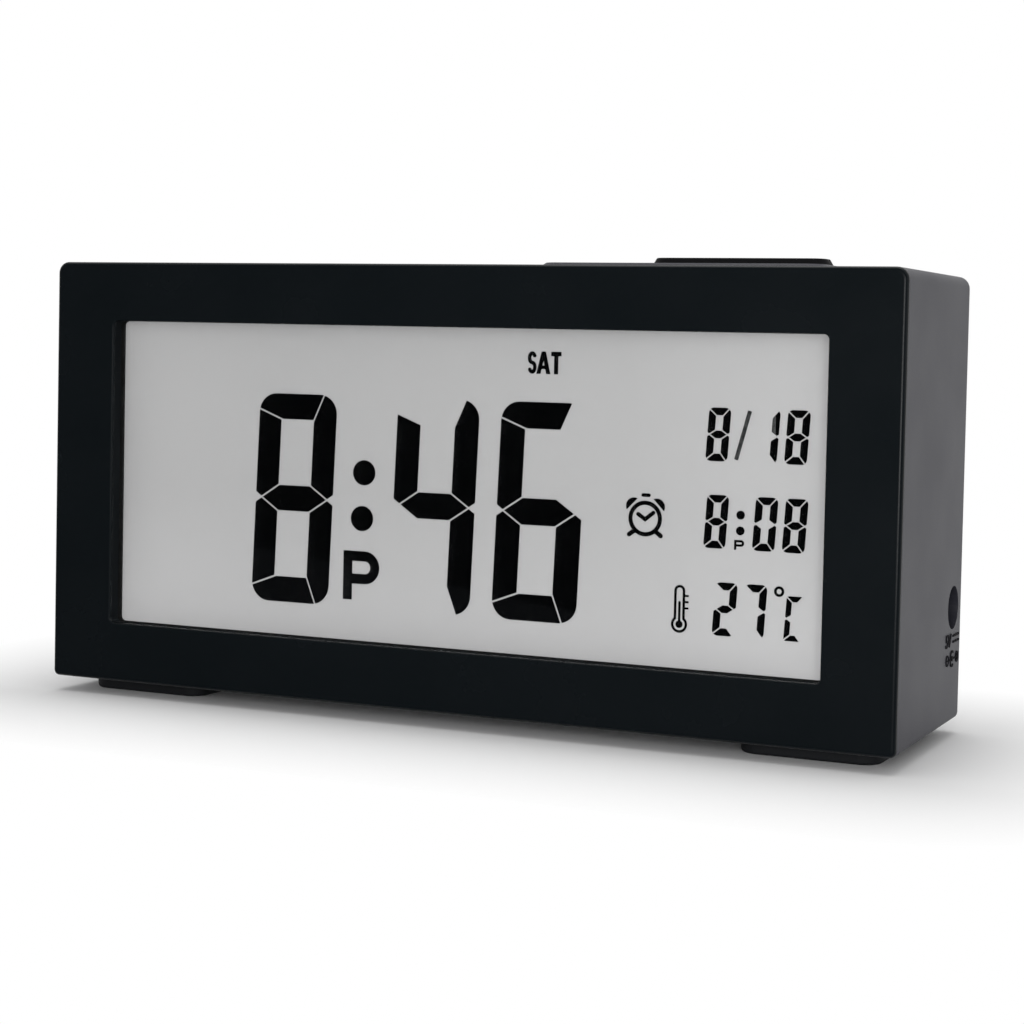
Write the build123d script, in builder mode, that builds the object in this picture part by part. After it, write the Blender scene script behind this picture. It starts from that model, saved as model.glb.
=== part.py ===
"""A desk clock with a large liquid crystal display, in millimetres.

X runs to the right of the front view, Y runs back from the front, and Z runs up.
The origin is on the surface that the clock stands on, under the middle of its box.
"""

import os
from math import radians, tan

from build123d import *

os.makedirs("parts", exist_ok=True)

# Case
case_width = 140.0
case_height = 67.0
case_depth = 39.0
case_top_corner = 1.8
case_foot_corner = 0.9
case_wall = 2.2
cavity_corner = 0.8
back_round = 2.5
overrun = 1.0

# Front bezel: a plate with a window right through it, a thin rim and a tongue that enters the housing
bezel_plate = 3.5
bezel_rim = 0.8
bezel_round = 0.65
parting_gap = 0.1
bezel_side = 10.95
bezel_rail = 9.35
window_round = 0.35
view_corner = 0.8
tongue_wall = 1.2
tongue_reach = 2.8
tongue_fit = 0.15

# Display lens, let into the bezel from behind
lens_thickness = 1.3
lens_lap = 1.1
lens_fit = 0.2

# Display stack, from the front to the back
gasket_thickness = 0.4
gasket_band = 0.8
glass_thickness = 1.1
glass_lap = 0.9
contact_ledge = 3.0
cell_gap = 0.1
reflector_thickness = 0.2
guide_thickness = 2.2
stack_gap = 0.3
frame_wall = 0.8
frame_fit = 0.15
light_width = 3.8
light_height = 2.0
light_thickness = 1.0
light_fit = 0.1
strip_thickness = 2.0
strip_end_inset = 3.0

# Figures of the display
time_lean = 2.0
time_width = 13.76
time_top_inset = 10.785
time_foot_inset = 4.985
time_stroke = 3.95
time_corner = 3.0
time_gap = 0.27
hour_x = -27.7
tens_x = -3.3
units_x = 14.13
colon_x = -15.47
colon_radius = 1.93
colon_spread = 7.05
colon_lift = 1.0
small_lean = 3.5
small_width = 3.3
small_height_share = 0.235
small_stroke = 1.08
small_corner = 0.8
small_gap = 0.2
small_top_inset = 10.69
small_foot_inset = 5.05
small_side_inset = 17.13
small_pitch = 7.33
small_units_offset = 11.75
slash_offset = 3.71
slash_width = 0.58
slash_run = 1.9
slash_height = 7.0
small_colon_offset = 3.65
small_colon_radius = 0.63
small_colon_spread = 2.25
heat_offset = 1.61
heat_pitch = 4.43
unit_sign_offset = 11.87
unit_sign_width = 2.5
unit_sign_stroke = 0.8
unit_sign_height_share = 0.83
degree_offset = 9.65
degree_radius = 0.75
degree_line = 0.38

# Main circuit board
board_thickness = 1.6
board_side_gap = 1.6
board_end_gap = 3.2
board_notch_gap = 0.5
board_boss_radius = 2.2
board_boss_rise = 13.5
board_pilot_radius = 0.85
board_pilot_depth = 4.5
board_shank_radius = 0.8
board_shank_length = 5.5
board_hole_radius = 1.1
board_head_radius = 1.9
board_head_height = 1.2
boss_blend = 0.4

# Case screws in deep wells
case_boss_radius = 2.9
case_boss_reach = 7.6
case_pilot_radius = 1.15
case_pilot_depth = 7.0
case_shank_radius = 1.05
case_shank_length = 9.0
case_head_radius = 2.3
case_head_height = 1.5
case_hole_radius = 1.4
case_well_radius = 2.7
case_seat_wall = 3.0
post_gap = 0.1
post_blend = 0.35
cross_width = 0.5
cross_share = 0.62

# Pieces on the main board
blob_radius = 6.0
blob_height = 1.8
blob_x = -22.0
blob_drop = 3.0
crystal_radius = 1.0
crystal_length = 6.2
crystal_x = -8.0
capacitor_radius = 2.5
capacitor_height = 7.0
capacitor_x = 18.0
capacitor_pitch = 9.0
capacitor_drop = 12.0
resistor_length = 2.0
resistor_width = 1.25
resistor_height = 0.55
resistor_pitch = 4.0
resistor_count = 6
resistor_rise = 8.0
connector_length = 7.5
connector_width = 4.5
connector_height = 5.0
connector_slot = 3.0
connector_slot_depth = 3.6
connector_pitch = 20.0
connector_foot_inset = 6.1
sensor_radius = 1.4
sensor_length = 3.6
sensor_edge = 0.7
sensor_end_inset = 14.2
sensor_foot_inset = 6.1

# Rubber feet
foot_height = 2.4
foot_width = 21.0
foot_corner = 3.0
foot_round = 0.6
foot_seat = 0.6
foot_side_inset = 3.7
foot_setback = 5.2
foot_back_inset = 4.8

# Snooze key: a low plate with a raised pad on its right part
snooze_from_side = 15.0
snooze_width = 44.7
snooze_depth = 12.0
snooze_setback = 10.0
snooze_corner = 3.0
snooze_proud = 0.75
snooze_slope_run = 0.45
snooze_slope_drop = 0.3
snooze_fit = 0.25
snooze_wall = 2.0
snooze_top = 1.5
snooze_travel = 0.6
pad_width = 27.2
pad_height = 0.9
pad_margin = 2.8
pad_end_inset = 0.55
pad_corner = 2.5
pad_slope = 30.0
pad_round = 0.25
flange_thickness = 1.2
flange_lap = 1.2
flange_gap = 0.2
snooze_post_radius = 1.6
snooze_post_length = 3.0

# Push switches under the keys
switch_side = 6.0
switch_body = 3.2
plunger_radius = 1.5
plunger_proud = 1.2
plunger_bury = 1.0
plunger_fit = 0.1
switch_bore_spare = 0.3
side_switch_depth = 4.6
side_switch_height = 3.6

# Setting keys on the back
key_names = ("time_key", "alarm_key", "up_key", "down_key")
key_length = 10.0
key_height = 5.0
key_proud = 0.8
key_round = 0.4
key_fit = 0.25
key_pitch = 16.0
key_drop_share = 0.25
key_travel = 0.5
key_flange_lap = 1.0
key_flange_thickness = 1.0
key_stem_length = 1.4
key_stem_radius = 1.5
key_board_thickness = 1.2
key_board_length = 74.0
key_board_height = 11.0
key_boss_radius = 2.2
key_boss_x = 33.5
key_screw_shank_radius = 0.8
key_screw_shank_length = 5.0
key_screw_head_radius = 1.8
key_screw_head_height = 1.1
key_pilot_radius = 0.85
key_pilot_depth = 4.4

# Sounder
sounder_from_side = 34.0
sounder_height = 26.0
sounder_radius = 10.0
sounder_plate = 0.25
sounder_crystal_radius = 7.0
sounder_crystal = 0.25
sounder_ring_wall = 1.2
sounder_ring_fit = 0.2
sounder_ledge_wall = 1.4
sounder_ledge_height = 1.6
sounder_ring_height = 3.0
sound_hole_radius = 0.9
sound_hole_circle = 4.2
sound_hole_count = 6

# Barrel jack in the right side
jack_from_back = 7.1
jack_height = 17.4
jack_hole_radius = 3.25
jack_length = 12.0
jack_depth = 7.8
jack_tall = 8.6
jack_gap = 0.1
jack_bore_radius = 2.9
jack_bore_depth = 9.5
jack_pin_radius = 1.0
jack_pin_length = 8.0
jack_pin_tail = 1.5
jack_pin_edge = 0.5
jack_spring_thickness = 0.3
jack_spring_width = 1.8
jack_spring_length = 6.0
jack_spring_slot = 0.8
cradle_wall = 1.4
cradle_fit = 0.1

# Battery bay, cells, contacts and lid
bay_x = -18.0
bay_rise_share = 1 / 3
bay_wall = 1.8
cell_count = 3
cell_radius = 5.25
cell_length = 44.5
cell_nub_radius = 1.9
cell_nub_length = 1.0
cell_edge = 0.6
cell_pitch = 11.0
cell_door_gap = 0.5
cell_floor_gap = 0.3
cell_touch = 0.1
contact_plate = 0.3
contact_size = 8.0
contact_bow = 2.4
contact_bow_chord = 7.0
contact_bow_width = 4.0
contact_seat = 0.05
door_thickness = 1.6
door_lap = 1.6
door_fit = 0.25
door_seat_gap = 0.1
door_corner = 2.0
tab_width = 6.0
tab_spread = 30.0
tab_thickness = 1.2
tab_reach = 1.3
tab_gap = 0.25
tab_neck = 1.3
tab_slot_fit = 0.4
tab_slot_depth = 2.2
scoop_radius = 7.0
scoop_depth = 1.0
scoop_rise = 2.6
tongue_slot = 0.8
tongue_slot_length = 9.0
tongue_width = 12.0
ridge_count = 4
ridge_pitch = 1.6
ridge_width = 0.7
ridge_depth = 0.4
ridge_length = 8.0

# Places that the sizes above give
front_y = -(case_depth + key_proud) / 2
back_y = front_y + case_depth
case_bottom = foot_height
mid_z = case_bottom + case_height / 2
case_top = case_bottom + case_height
housing_y = front_y + bezel_rim + parting_gap
inner_back_y = back_y - case_wall
inner_side_x = case_width / 2 - case_wall
inner_top_z = case_top - case_wall

view_width = case_width - 2 * bezel_side
view_height = case_height - 2 * bezel_rail
lens_width = view_width + 2 * lens_lap
lens_height = view_height + 2 * lens_lap

gasket_y = front_y + bezel_plate
front_glass_y = gasket_y + gasket_thickness
cell_y = front_glass_y + glass_thickness
rear_glass_y = cell_y + cell_gap
reflector_y = rear_glass_y + glass_thickness
guide_y = reflector_y + reflector_thickness
board_y = guide_y + guide_thickness + stack_gap
board_back_y = board_y + board_thickness
glass_width = view_width + 2 * glass_lap
glass_height = view_height + 2 * glass_lap

tongue_width_x = case_width - 2 * (case_wall + tongue_fit)
tongue_height_z = case_height - 2 * (case_wall + tongue_fit)
rim_to_case_boss = tongue_fit + tongue_wall + case_boss_radius - boss_blend
rim_to_board_boss = tongue_fit + tongue_wall + board_boss_radius - boss_blend
case_boss_x = inner_side_x - rim_to_case_boss
case_boss_z = case_height / 2 - case_wall - rim_to_case_boss
board_boss_x = inner_side_x - rim_to_board_boss
case_boss_end_y = gasket_y + case_boss_reach
post_radius = rim_to_case_boss + post_blend
case_seat_y = case_boss_end_y + post_gap + case_seat_wall

board_width = 2 * (inner_side_x - board_side_gap)
board_height = case_height - 2 * (case_wall + board_end_gap)
notch_x = case_boss_x - case_boss_radius - board_notch_gap
notch_z = case_boss_z - case_boss_radius - board_notch_gap
connector_z = mid_z - board_height / 2 + connector_foot_inset
sensor_x = board_width / 2 - sensor_end_inset
sensor_z = mid_z - board_height / 2 + sensor_foot_inset

foot_x = case_width / 2 - foot_side_inset - foot_width / 2
foot_length = case_depth - foot_setback - foot_back_inset
foot_y = front_y + foot_setback + foot_length / 2

snooze_x = case_width / 2 - snooze_from_side - snooze_width / 2
snooze_y = front_y + snooze_setback + snooze_depth / 2
flange_bottom_z = inner_top_z - flange_gap - flange_thickness
snooze_post_z = flange_bottom_z - snooze_post_length
snooze_post_y = board_back_y + side_switch_depth / 2
pad_x = snooze_x + snooze_width / 2 - pad_end_inset - pad_width / 2

bay_length = cell_length + 2 * contact_plate + contact_bow + 2 * cell_touch
bay_height = cell_count * cell_pitch
inner_height = case_height - 2 * case_wall
spare_height = inner_height - bay_height - 2 * bay_wall - key_board_height

key_z = inner_top_z - spare_height * key_drop_share - key_board_height / 2
key_flange_y = inner_back_y - flange_gap
key_stem_y = key_flange_y - key_flange_thickness - key_stem_length
switch_face_y = key_stem_y - plunger_proud
key_board_y = switch_face_y - switch_body
key_xs = [key_pitch * (i - (len(key_names) - 1) / 2) for i in range(len(key_names))]

sounder_x = case_width / 2 - sounder_from_side
sounder_z = case_bottom + sounder_height
jack_y = back_y - jack_from_back
jack_z = case_bottom + jack_height
jack_face_x = inner_side_x - jack_gap

bay_bottom_z = case_bottom + case_wall + spare_height * bay_rise_share + bay_wall
bay_mid_z = bay_bottom_z + bay_height / 2
cell_axis_y = back_y - door_thickness - cell_door_gap - cell_radius
bay_floor_y = cell_axis_y - cell_radius - cell_floor_gap
door_width = bay_length + 2 * door_lap
door_height = bay_height + 2 * door_lap
door_bottom_z = bay_mid_z - door_height / 2
door_top_z = bay_mid_z + door_height / 2


def facing_front(y):
    """An upright plane at a depth: its own x is X and its own y is Z. A positive extrusion runs forward."""
    return Plane.XZ.offset(-y)


def facing_right(x):
    """An upright plane across the clock: its x is Y and its y is Z. A positive extrusion runs right."""
    return Plane.YZ.offset(x)


def case_outline(sketch):
    """Draw the outline of the case in a sketch, with larger corners above than below."""
    with Locations((0, mid_z)):
        Rectangle(case_width, case_height)
    fillet(sketch.vertices().group_by(Axis.Y)[-1], case_top_corner)
    fillet(sketch.vertices().group_by(Axis.Y)[0], case_foot_corner)


def save(piece, name):
    """Label a finished piece and write it under its name."""
    piece.part.label = name
    export_step(piece.part, f"parts/{name}.step")


# Front bezel
with BuildPart() as front_bezel:
    with BuildSketch(facing_front(front_y)) as front_outline:
        case_outline(front_outline)
    extrude(amount=-bezel_rim)
    fillet(front_bezel.faces().sort_by(Axis.Y)[0].edges(), bezel_round)
    # Behind its rim the plate enters the mouth of the housing.
    with BuildSketch(facing_front(front_y + bezel_rim)):
        with Locations((0, mid_z)):
            RectangleRounded(tongue_width_x, tongue_height_z, cavity_corner)
    extrude(amount=-(bezel_plate - bezel_rim))
    with BuildSketch(facing_front(front_y)):
        with Locations((0, mid_z)):
            RectangleRounded(view_width, view_height, view_corner)
    extrude(amount=-(bezel_plate + overrun), mode=Mode.SUBTRACT)
    # The edge that the window leaves in the front face is eased, and the lens has its pocket behind it.
    fillet(front_bezel.faces().sort_by(Axis.Y)[0].inner_wires()[0].edges(), window_round)
    with BuildSketch(facing_front(gasket_y)):
        with Locations((0, mid_z)):
            RectangleRounded(lens_width + 2 * lens_fit, lens_height + 2 * lens_fit, view_corner + lens_fit)
    extrude(amount=lens_thickness, mode=Mode.SUBTRACT)
    # A tongue all round runs on and centres the bezel in the housing.
    with BuildSketch(facing_front(gasket_y)):
        with Locations((0, mid_z)):
            RectangleRounded(tongue_width_x, tongue_height_z, cavity_corner)
            RectangleRounded(
                tongue_width_x - 2 * tongue_wall,
                tongue_height_z - 2 * tongue_wall,
                cavity_corner,
                mode=Mode.SUBTRACT,
            )
    extrude(amount=-tongue_reach)
    # Screw bosses for the case in the corners, and for the board at the sides.
    with BuildSketch(facing_front(gasket_y)):
        with Locations((0, mid_z)):
            with GridLocations(2 * case_boss_x, 2 * case_boss_z, 2, 2):
                Circle(case_boss_radius)
    extrude(amount=-case_boss_reach)
    with BuildSketch(facing_front(gasket_y)):
        with Locations((0, mid_z)):
            with GridLocations(2 * board_boss_x, 2 * board_boss_rise, 2, 2):
                Circle(board_boss_radius)
    extrude(amount=-(board_y - gasket_y))
    with BuildSketch(facing_front(case_boss_end_y)):
        with Locations((0, mid_z)):
            with GridLocations(2 * case_boss_x, 2 * case_boss_z, 2, 2):
                Circle(case_pilot_radius)
    extrude(amount=case_pilot_depth, mode=Mode.SUBTRACT)
    with BuildSketch(facing_front(board_y)):
        with Locations((0, mid_z)):
            with GridLocations(2 * board_boss_x, 2 * board_boss_rise, 2, 2):
                Circle(board_pilot_radius)
    extrude(amount=board_pilot_depth, mode=Mode.SUBTRACT)
save(front_bezel, "front_bezel")

# Display lens, in its pocket behind the window
with BuildPart() as display_lens:
    with BuildSketch(facing_front(gasket_y)):
        with Locations((0, mid_z)):
            RectangleRounded(lens_width, lens_height, view_corner)
    extrude(amount=lens_thickness)
save(display_lens, "display_lens")

# Foam gasket round the field, between the lens and the front glass
with BuildPart() as lcd_gasket:
    with BuildSketch(facing_front(gasket_y)):
        with Locations((0, mid_z)):
            Rectangle(view_width + 2 * gasket_band, view_height + 2 * gasket_band)
            RectangleRounded(view_width, view_height, view_corner, mode=Mode.SUBTRACT)
    extrude(amount=-gasket_thickness)
save(lcd_gasket, "lcd_gasket")

# Front glass, which runs on below the cell as a ledge of contacts
with BuildPart() as lcd_front_glass:
    with BuildSketch(facing_front(front_glass_y)):
        with Locations((0, mid_z - contact_ledge / 2)):
            Rectangle(glass_width, glass_height + contact_ledge)
    extrude(amount=-glass_thickness)
save(lcd_front_glass, "lcd_front_glass")

# Rear glass
with BuildPart() as lcd_rear_glass:
    with BuildSketch(facing_front(rear_glass_y)):
        with Locations((0, mid_z)):
            Rectangle(glass_width, glass_height)
    extrude(amount=-glass_thickness)
save(lcd_rear_glass, "lcd_rear_glass")

# Seven-segment figures between the two glasses.
# Letters name the segments: a on top, then clockwise, with g across the middle.
lit_segments = {
    "0": "abcdef",
    "1": "bc",
    "2": "abdeg",
    "4": "bcfg",
    "6": "acdefg",
    "7": "abc",
    "8": "abcdefg",
    "C": "adef",
}
large_mitre_shares = (0.38, 0.42)
small_mitre_shares = (0.85, 0.85)
tip_share = 0.25
cut_shares = (-0.1, 1.4)


def leaned(x, z, lean):
    """A point of an upright figure, leaned to the right."""
    return (x + z * tan(radians(lean)), z)


def lit_faces(figure, width, height, stroke, corner, gap, mitre_shares, lean):
    """The lit segments of one leaning figure, cut out of its outline by two windows and the gaps."""
    a, b, t = width / 2, height / 2, stroke
    side_share, end_share = mitre_shares
    tip = t * tip_share
    # Each gap runs from the inner end of a joint between two segments to its outer end.
    joints = [
        ((t - a, b - t), (-a, b - t + t * side_share)),
        ((a - t, b - t), (a - t + t * end_share, b)),
        ((t - a, t - b), (-a, t - b - t * side_share)),
        ((a - t, t - b), (a - t + t * end_share, -b)),
        ((t - a, t / 2), (tip - a, 0)),
        ((t - a, -t / 2), (tip - a, 0)),
        ((a - t, t / 2), (a - tip, 0)),
        ((a - t, -t / 2), (a - tip, 0)),
        ((tip - a, 0), (-a, 0)),
        ((a - tip, 0), (a, 0)),
    ]
    with BuildSketch() as figure_sketch:
        with BuildLine():
            corners = [(-a, -b), (a, -b), (a, b), (-a, b)]
            Polyline(*[leaned(x, z, lean) for x, z in corners], close=True)
        make_face()
        fillet(figure_sketch.vertices(), corner)
        for low, high in ((t / 2, b - t), (t - b, -t / 2)):
            with BuildLine():
                corners = [(t - a, low), (a - t, low), (a - t, high), (t - a, high)]
                Polyline(*[leaned(x, z, lean) for x, z in corners], close=True)
            make_face(mode=Mode.SUBTRACT)
        with BuildLine():
            for (x1, z1), (x2, z2) in joints:
                ends = [(x1 + (x2 - x1) * s, z1 + (z2 - z1) * s) for s in cut_shares]
                Line(leaned(*ends[0], lean), leaned(*ends[1], lean))
        trace(line_width=gap, mode=Mode.SUBTRACT)
    centres = {
        "a": (0, b - t / 2),
        "b": (a - t / 2, b / 2),
        "c": (a - t / 2, -b / 2),
        "d": (0, t / 2 - b),
        "e": (t / 2 - a, -b / 2),
        "f": (t / 2 - a, b / 2),
        "g": (0, 0),
    }
    faces = figure_sketch.sketch.faces()
    return [
        faces.sort_by(lambda face: (face.center() - Vector(*leaned(*centres[letter], lean))).length)[0]
        for letter in lit_segments[figure]
    ]


time_height = view_height - time_top_inset - time_foot_inset
time_drop = (time_top_inset - time_foot_inset) / 2
column_height = view_height - small_top_inset - small_foot_inset
small_height = column_height * small_height_share
unit_sign_height = small_height * unit_sign_height_share
date_lift = view_height / 2 - small_top_inset - small_height / 2
heat_drop = view_height / 2 - small_foot_inset - small_height / 2
alarm_drop = (heat_drop - date_lift) / 2
small_column = view_width / 2 - small_side_inset
heat_column = small_column + heat_offset
slash_x = small_column + slash_offset
small_colon_x = small_column + small_colon_offset
degree_x = small_column + degree_offset
time_size = (time_width, time_height, time_stroke, time_corner, time_gap, large_mitre_shares, time_lean)
small_finish = (small_stroke, small_corner, small_gap, small_mitre_shares, small_lean)
small_size = (small_width, small_height, *small_finish)
unit_finish = (unit_sign_stroke, unit_sign_stroke / 2, small_gap, small_mitre_shares, small_lean)
unit_size = (unit_sign_width, unit_sign_height, *unit_finish)
small_tens_x = small_column + small_pitch
small_units_x = small_column + small_units_offset
unit_drop = heat_drop + (small_height - unit_sign_height) / 2
figures = [
    ("8", hour_x, -time_drop, time_size),
    ("4", tens_x, -time_drop, time_size),
    ("6", units_x, -time_drop, time_size),
    ("8", small_column, date_lift, small_size),
    ("1", small_tens_x, date_lift, small_size),
    ("8", small_units_x, date_lift, small_size),
    ("8", small_column, -alarm_drop, small_size),
    ("0", small_tens_x, -alarm_drop, small_size),
    ("8", small_units_x, -alarm_drop, small_size),
    ("2", heat_column, -heat_drop, small_size),
    ("7", heat_column + heat_pitch, -heat_drop, small_size),
    ("C", small_column + unit_sign_offset, -unit_drop, unit_size),
]
figure_faces = [(x, z, face) for figure, x, z, size in figures for face in lit_faces(figure, *size)]

with BuildPart() as lcd_segments:
    with BuildSketch(facing_front(cell_y)):
        for x, z, face in figure_faces:
            with Locations((x, mid_z + z)):
                add(face)
        # Colons of the time and of the alarm
        for rise in (colon_spread / 2, -colon_spread / 2):
            with Locations((leaned(colon_x, rise, time_lean)[0], mid_z - time_drop + colon_lift + rise)):
                Circle(colon_radius)
        for rise in (small_colon_spread / 2, -small_colon_spread / 2):
            with Locations((small_colon_x, mid_z - alarm_drop + rise)):
                Circle(small_colon_radius)
        # Slash of the date
        with BuildLine():
            Line(
                (slash_x - slash_run / 2, mid_z + date_lift - slash_height / 2),
                (slash_x + slash_run / 2, mid_z + date_lift + slash_height / 2),
            )
        trace(line_width=slash_width)
        # Degree ring
        with Locations((degree_x, mid_z - heat_drop + small_height / 2 - degree_radius)):
            Circle(degree_radius)
            Circle(degree_radius - degree_line, mode=Mode.SUBTRACT)
    extrude(amount=-cell_gap)
save(lcd_segments, "lcd_segments")

# Reflector sheet behind the cell
with BuildPart() as lcd_reflector:
    with BuildSketch(facing_front(reflector_y)):
        with Locations((0, mid_z)):
            Rectangle(glass_width, glass_height)
    extrude(amount=-reflector_thickness)
save(lcd_reflector, "lcd_reflector")

# Light guide, short of the glass at both ends to leave room for the lights
guide_width = glass_width - 2 * (light_thickness + 2 * light_fit)
with BuildPart() as backlight_guide:
    with BuildSketch(facing_front(guide_y)):
        with Locations((0, mid_z)):
            Rectangle(guide_width, glass_height)
    extrude(amount=-guide_thickness)
save(backlight_guide, "backlight_guide")

# Side lights on the board, at both ends of the light guide
light_x = guide_width / 2 + light_fit + light_thickness / 2
with BuildPart() as backlight_lights:
    with BuildSketch(facing_front(board_y)):
        with Locations((-light_x, mid_z), (light_x, mid_z)):
            Rectangle(light_thickness, light_width)
    extrude(amount=light_height)
save(backlight_lights, "backlight_lights")

# Frame that holds the stack together on the board
with BuildPart() as lcd_frame:
    with BuildSketch(facing_front(front_glass_y)):
        with Locations((0, mid_z - contact_ledge / 2)):
            Rectangle(
                glass_width + 2 * (frame_fit + frame_wall),
                glass_height + contact_ledge + 2 * (frame_fit + frame_wall),
            )
            Rectangle(
                glass_width + 2 * frame_fit,
                glass_height + contact_ledge + 2 * frame_fit,
                mode=Mode.SUBTRACT,
            )
    extrude(amount=-(board_y - front_glass_y))
save(lcd_frame, "lcd_frame")

# Elastomer contact strip from the glass ledge to the board
with BuildPart() as contact_strip:
    with BuildSketch(facing_front(cell_y)):
        with Locations((0, mid_z - glass_height / 2 - contact_ledge / 2)):
            Rectangle(view_width - 2 * strip_end_inset, strip_thickness)
    extrude(amount=-(board_y - cell_y))
save(contact_strip, "contact_strip")

# Main circuit board, notched round the corner bosses
with BuildPart() as main_board:
    with BuildSketch(facing_front(board_y)):
        with Locations((0, mid_z)):
            Rectangle(board_width, 2 * notch_z)
            Rectangle(2 * notch_x, board_height)
            with GridLocations(2 * board_boss_x, 2 * board_boss_rise, 2, 2):
                Circle(board_hole_radius, mode=Mode.SUBTRACT)
    extrude(amount=-board_thickness)
save(main_board, "main_board")

# Screws of the main board
with BuildPart() as board_screws:
    with BuildSketch(facing_front(board_back_y)):
        with Locations((0, mid_z)):
            with GridLocations(2 * board_boss_x, 2 * board_boss_rise, 2, 2):
                Circle(board_head_radius)
    extrude(amount=-board_head_height)
    with BuildSketch(facing_front(board_back_y)):
        with Locations((0, mid_z)):
            with GridLocations(2 * board_boss_x, 2 * board_boss_rise, 2, 2):
                Circle(board_shank_radius)
    extrude(amount=board_shank_length)
    with BuildSketch(facing_front(board_back_y + board_head_height)):
        with Locations((0, mid_z)):
            with GridLocations(2 * board_boss_x, 2 * board_boss_rise, 2, 2):
                Rectangle(2 * board_head_radius * cross_share, cross_width)
                Rectangle(cross_width, 2 * board_head_radius * cross_share)
    extrude(amount=board_head_height / 2, mode=Mode.SUBTRACT)
save(board_screws, "board_screws")

# Controller under a drop of resin: a shallow dome on the back of the board
blob_arch = (blob_radius**2 + blob_height**2) / (2 * blob_height)
with BuildPart() as controller_blob:
    with BuildSketch(Plane.XY.offset(mid_z - blob_drop)):
        with BuildLine():
            Line((blob_x, board_back_y), (blob_x, board_back_y + blob_height))
            RadiusArc(
                (blob_x, board_back_y + blob_height), (blob_x + blob_radius, board_back_y), blob_arch
            )
            Line((blob_x + blob_radius, board_back_y), (blob_x, board_back_y))
        make_face()
    revolve(axis=Axis((blob_x, 0, mid_z - blob_drop), (0, 1, 0)))
save(controller_blob, "controller_blob")

# Crystal can, lying on the board
with BuildPart() as crystal_can:
    with BuildSketch(facing_right(crystal_x)):
        with Locations((board_back_y + crystal_radius, mid_z)):
            Circle(crystal_radius)
    extrude(amount=crystal_length)
save(crystal_can, "crystal_can")

# Two capacitors, standing on the board
with BuildPart() as capacitors:
    with BuildSketch(facing_front(board_back_y)):
        with Locations((capacitor_x, mid_z - capacitor_drop)):
            with GridLocations(capacitor_pitch, capacitor_pitch, 2, 1):
                Circle(capacitor_radius)
    extrude(amount=-capacitor_height)
save(capacitors, "capacitors")

# A row of chip resistors
with BuildPart() as chip_resistors:
    with BuildSketch(facing_front(board_back_y)):
        with Locations((blob_x, mid_z + resistor_rise)):
            with GridLocations(resistor_pitch, resistor_pitch, resistor_count, 1):
                Rectangle(resistor_width, resistor_length)
    extrude(amount=-resistor_height)
save(chip_resistors, "chip_resistors")

# Three plug connectors for the keys, the power and the sounder
with BuildPart() as board_connectors:
    with BuildSketch(facing_front(board_back_y)):
        with Locations((0, connector_z)):
            with GridLocations(connector_pitch, connector_pitch, 3, 1):
                Rectangle(connector_length, connector_width)
    extrude(amount=-connector_height)
    with BuildSketch(facing_front(board_back_y + connector_height)):
        with Locations((0, connector_z)):
            with GridLocations(connector_pitch, connector_pitch, 3, 1):
                Rectangle(connector_length - connector_width + connector_slot, connector_slot)
    extrude(amount=connector_slot_depth, mode=Mode.SUBTRACT)
save(board_connectors, "board_connectors")

# Temperature sensor: a bead on the lower part of the board
with BuildPart() as heat_sensor:
    with BuildSketch(facing_front(board_back_y)):
        with Locations((sensor_x, sensor_z)):
            Circle(sensor_radius)
    extrude(amount=-sensor_length)
    chamfer(heat_sensor.faces().sort_by(Axis.Y)[-1].edges(), sensor_edge)
save(heat_sensor, "heat_sensor")

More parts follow.
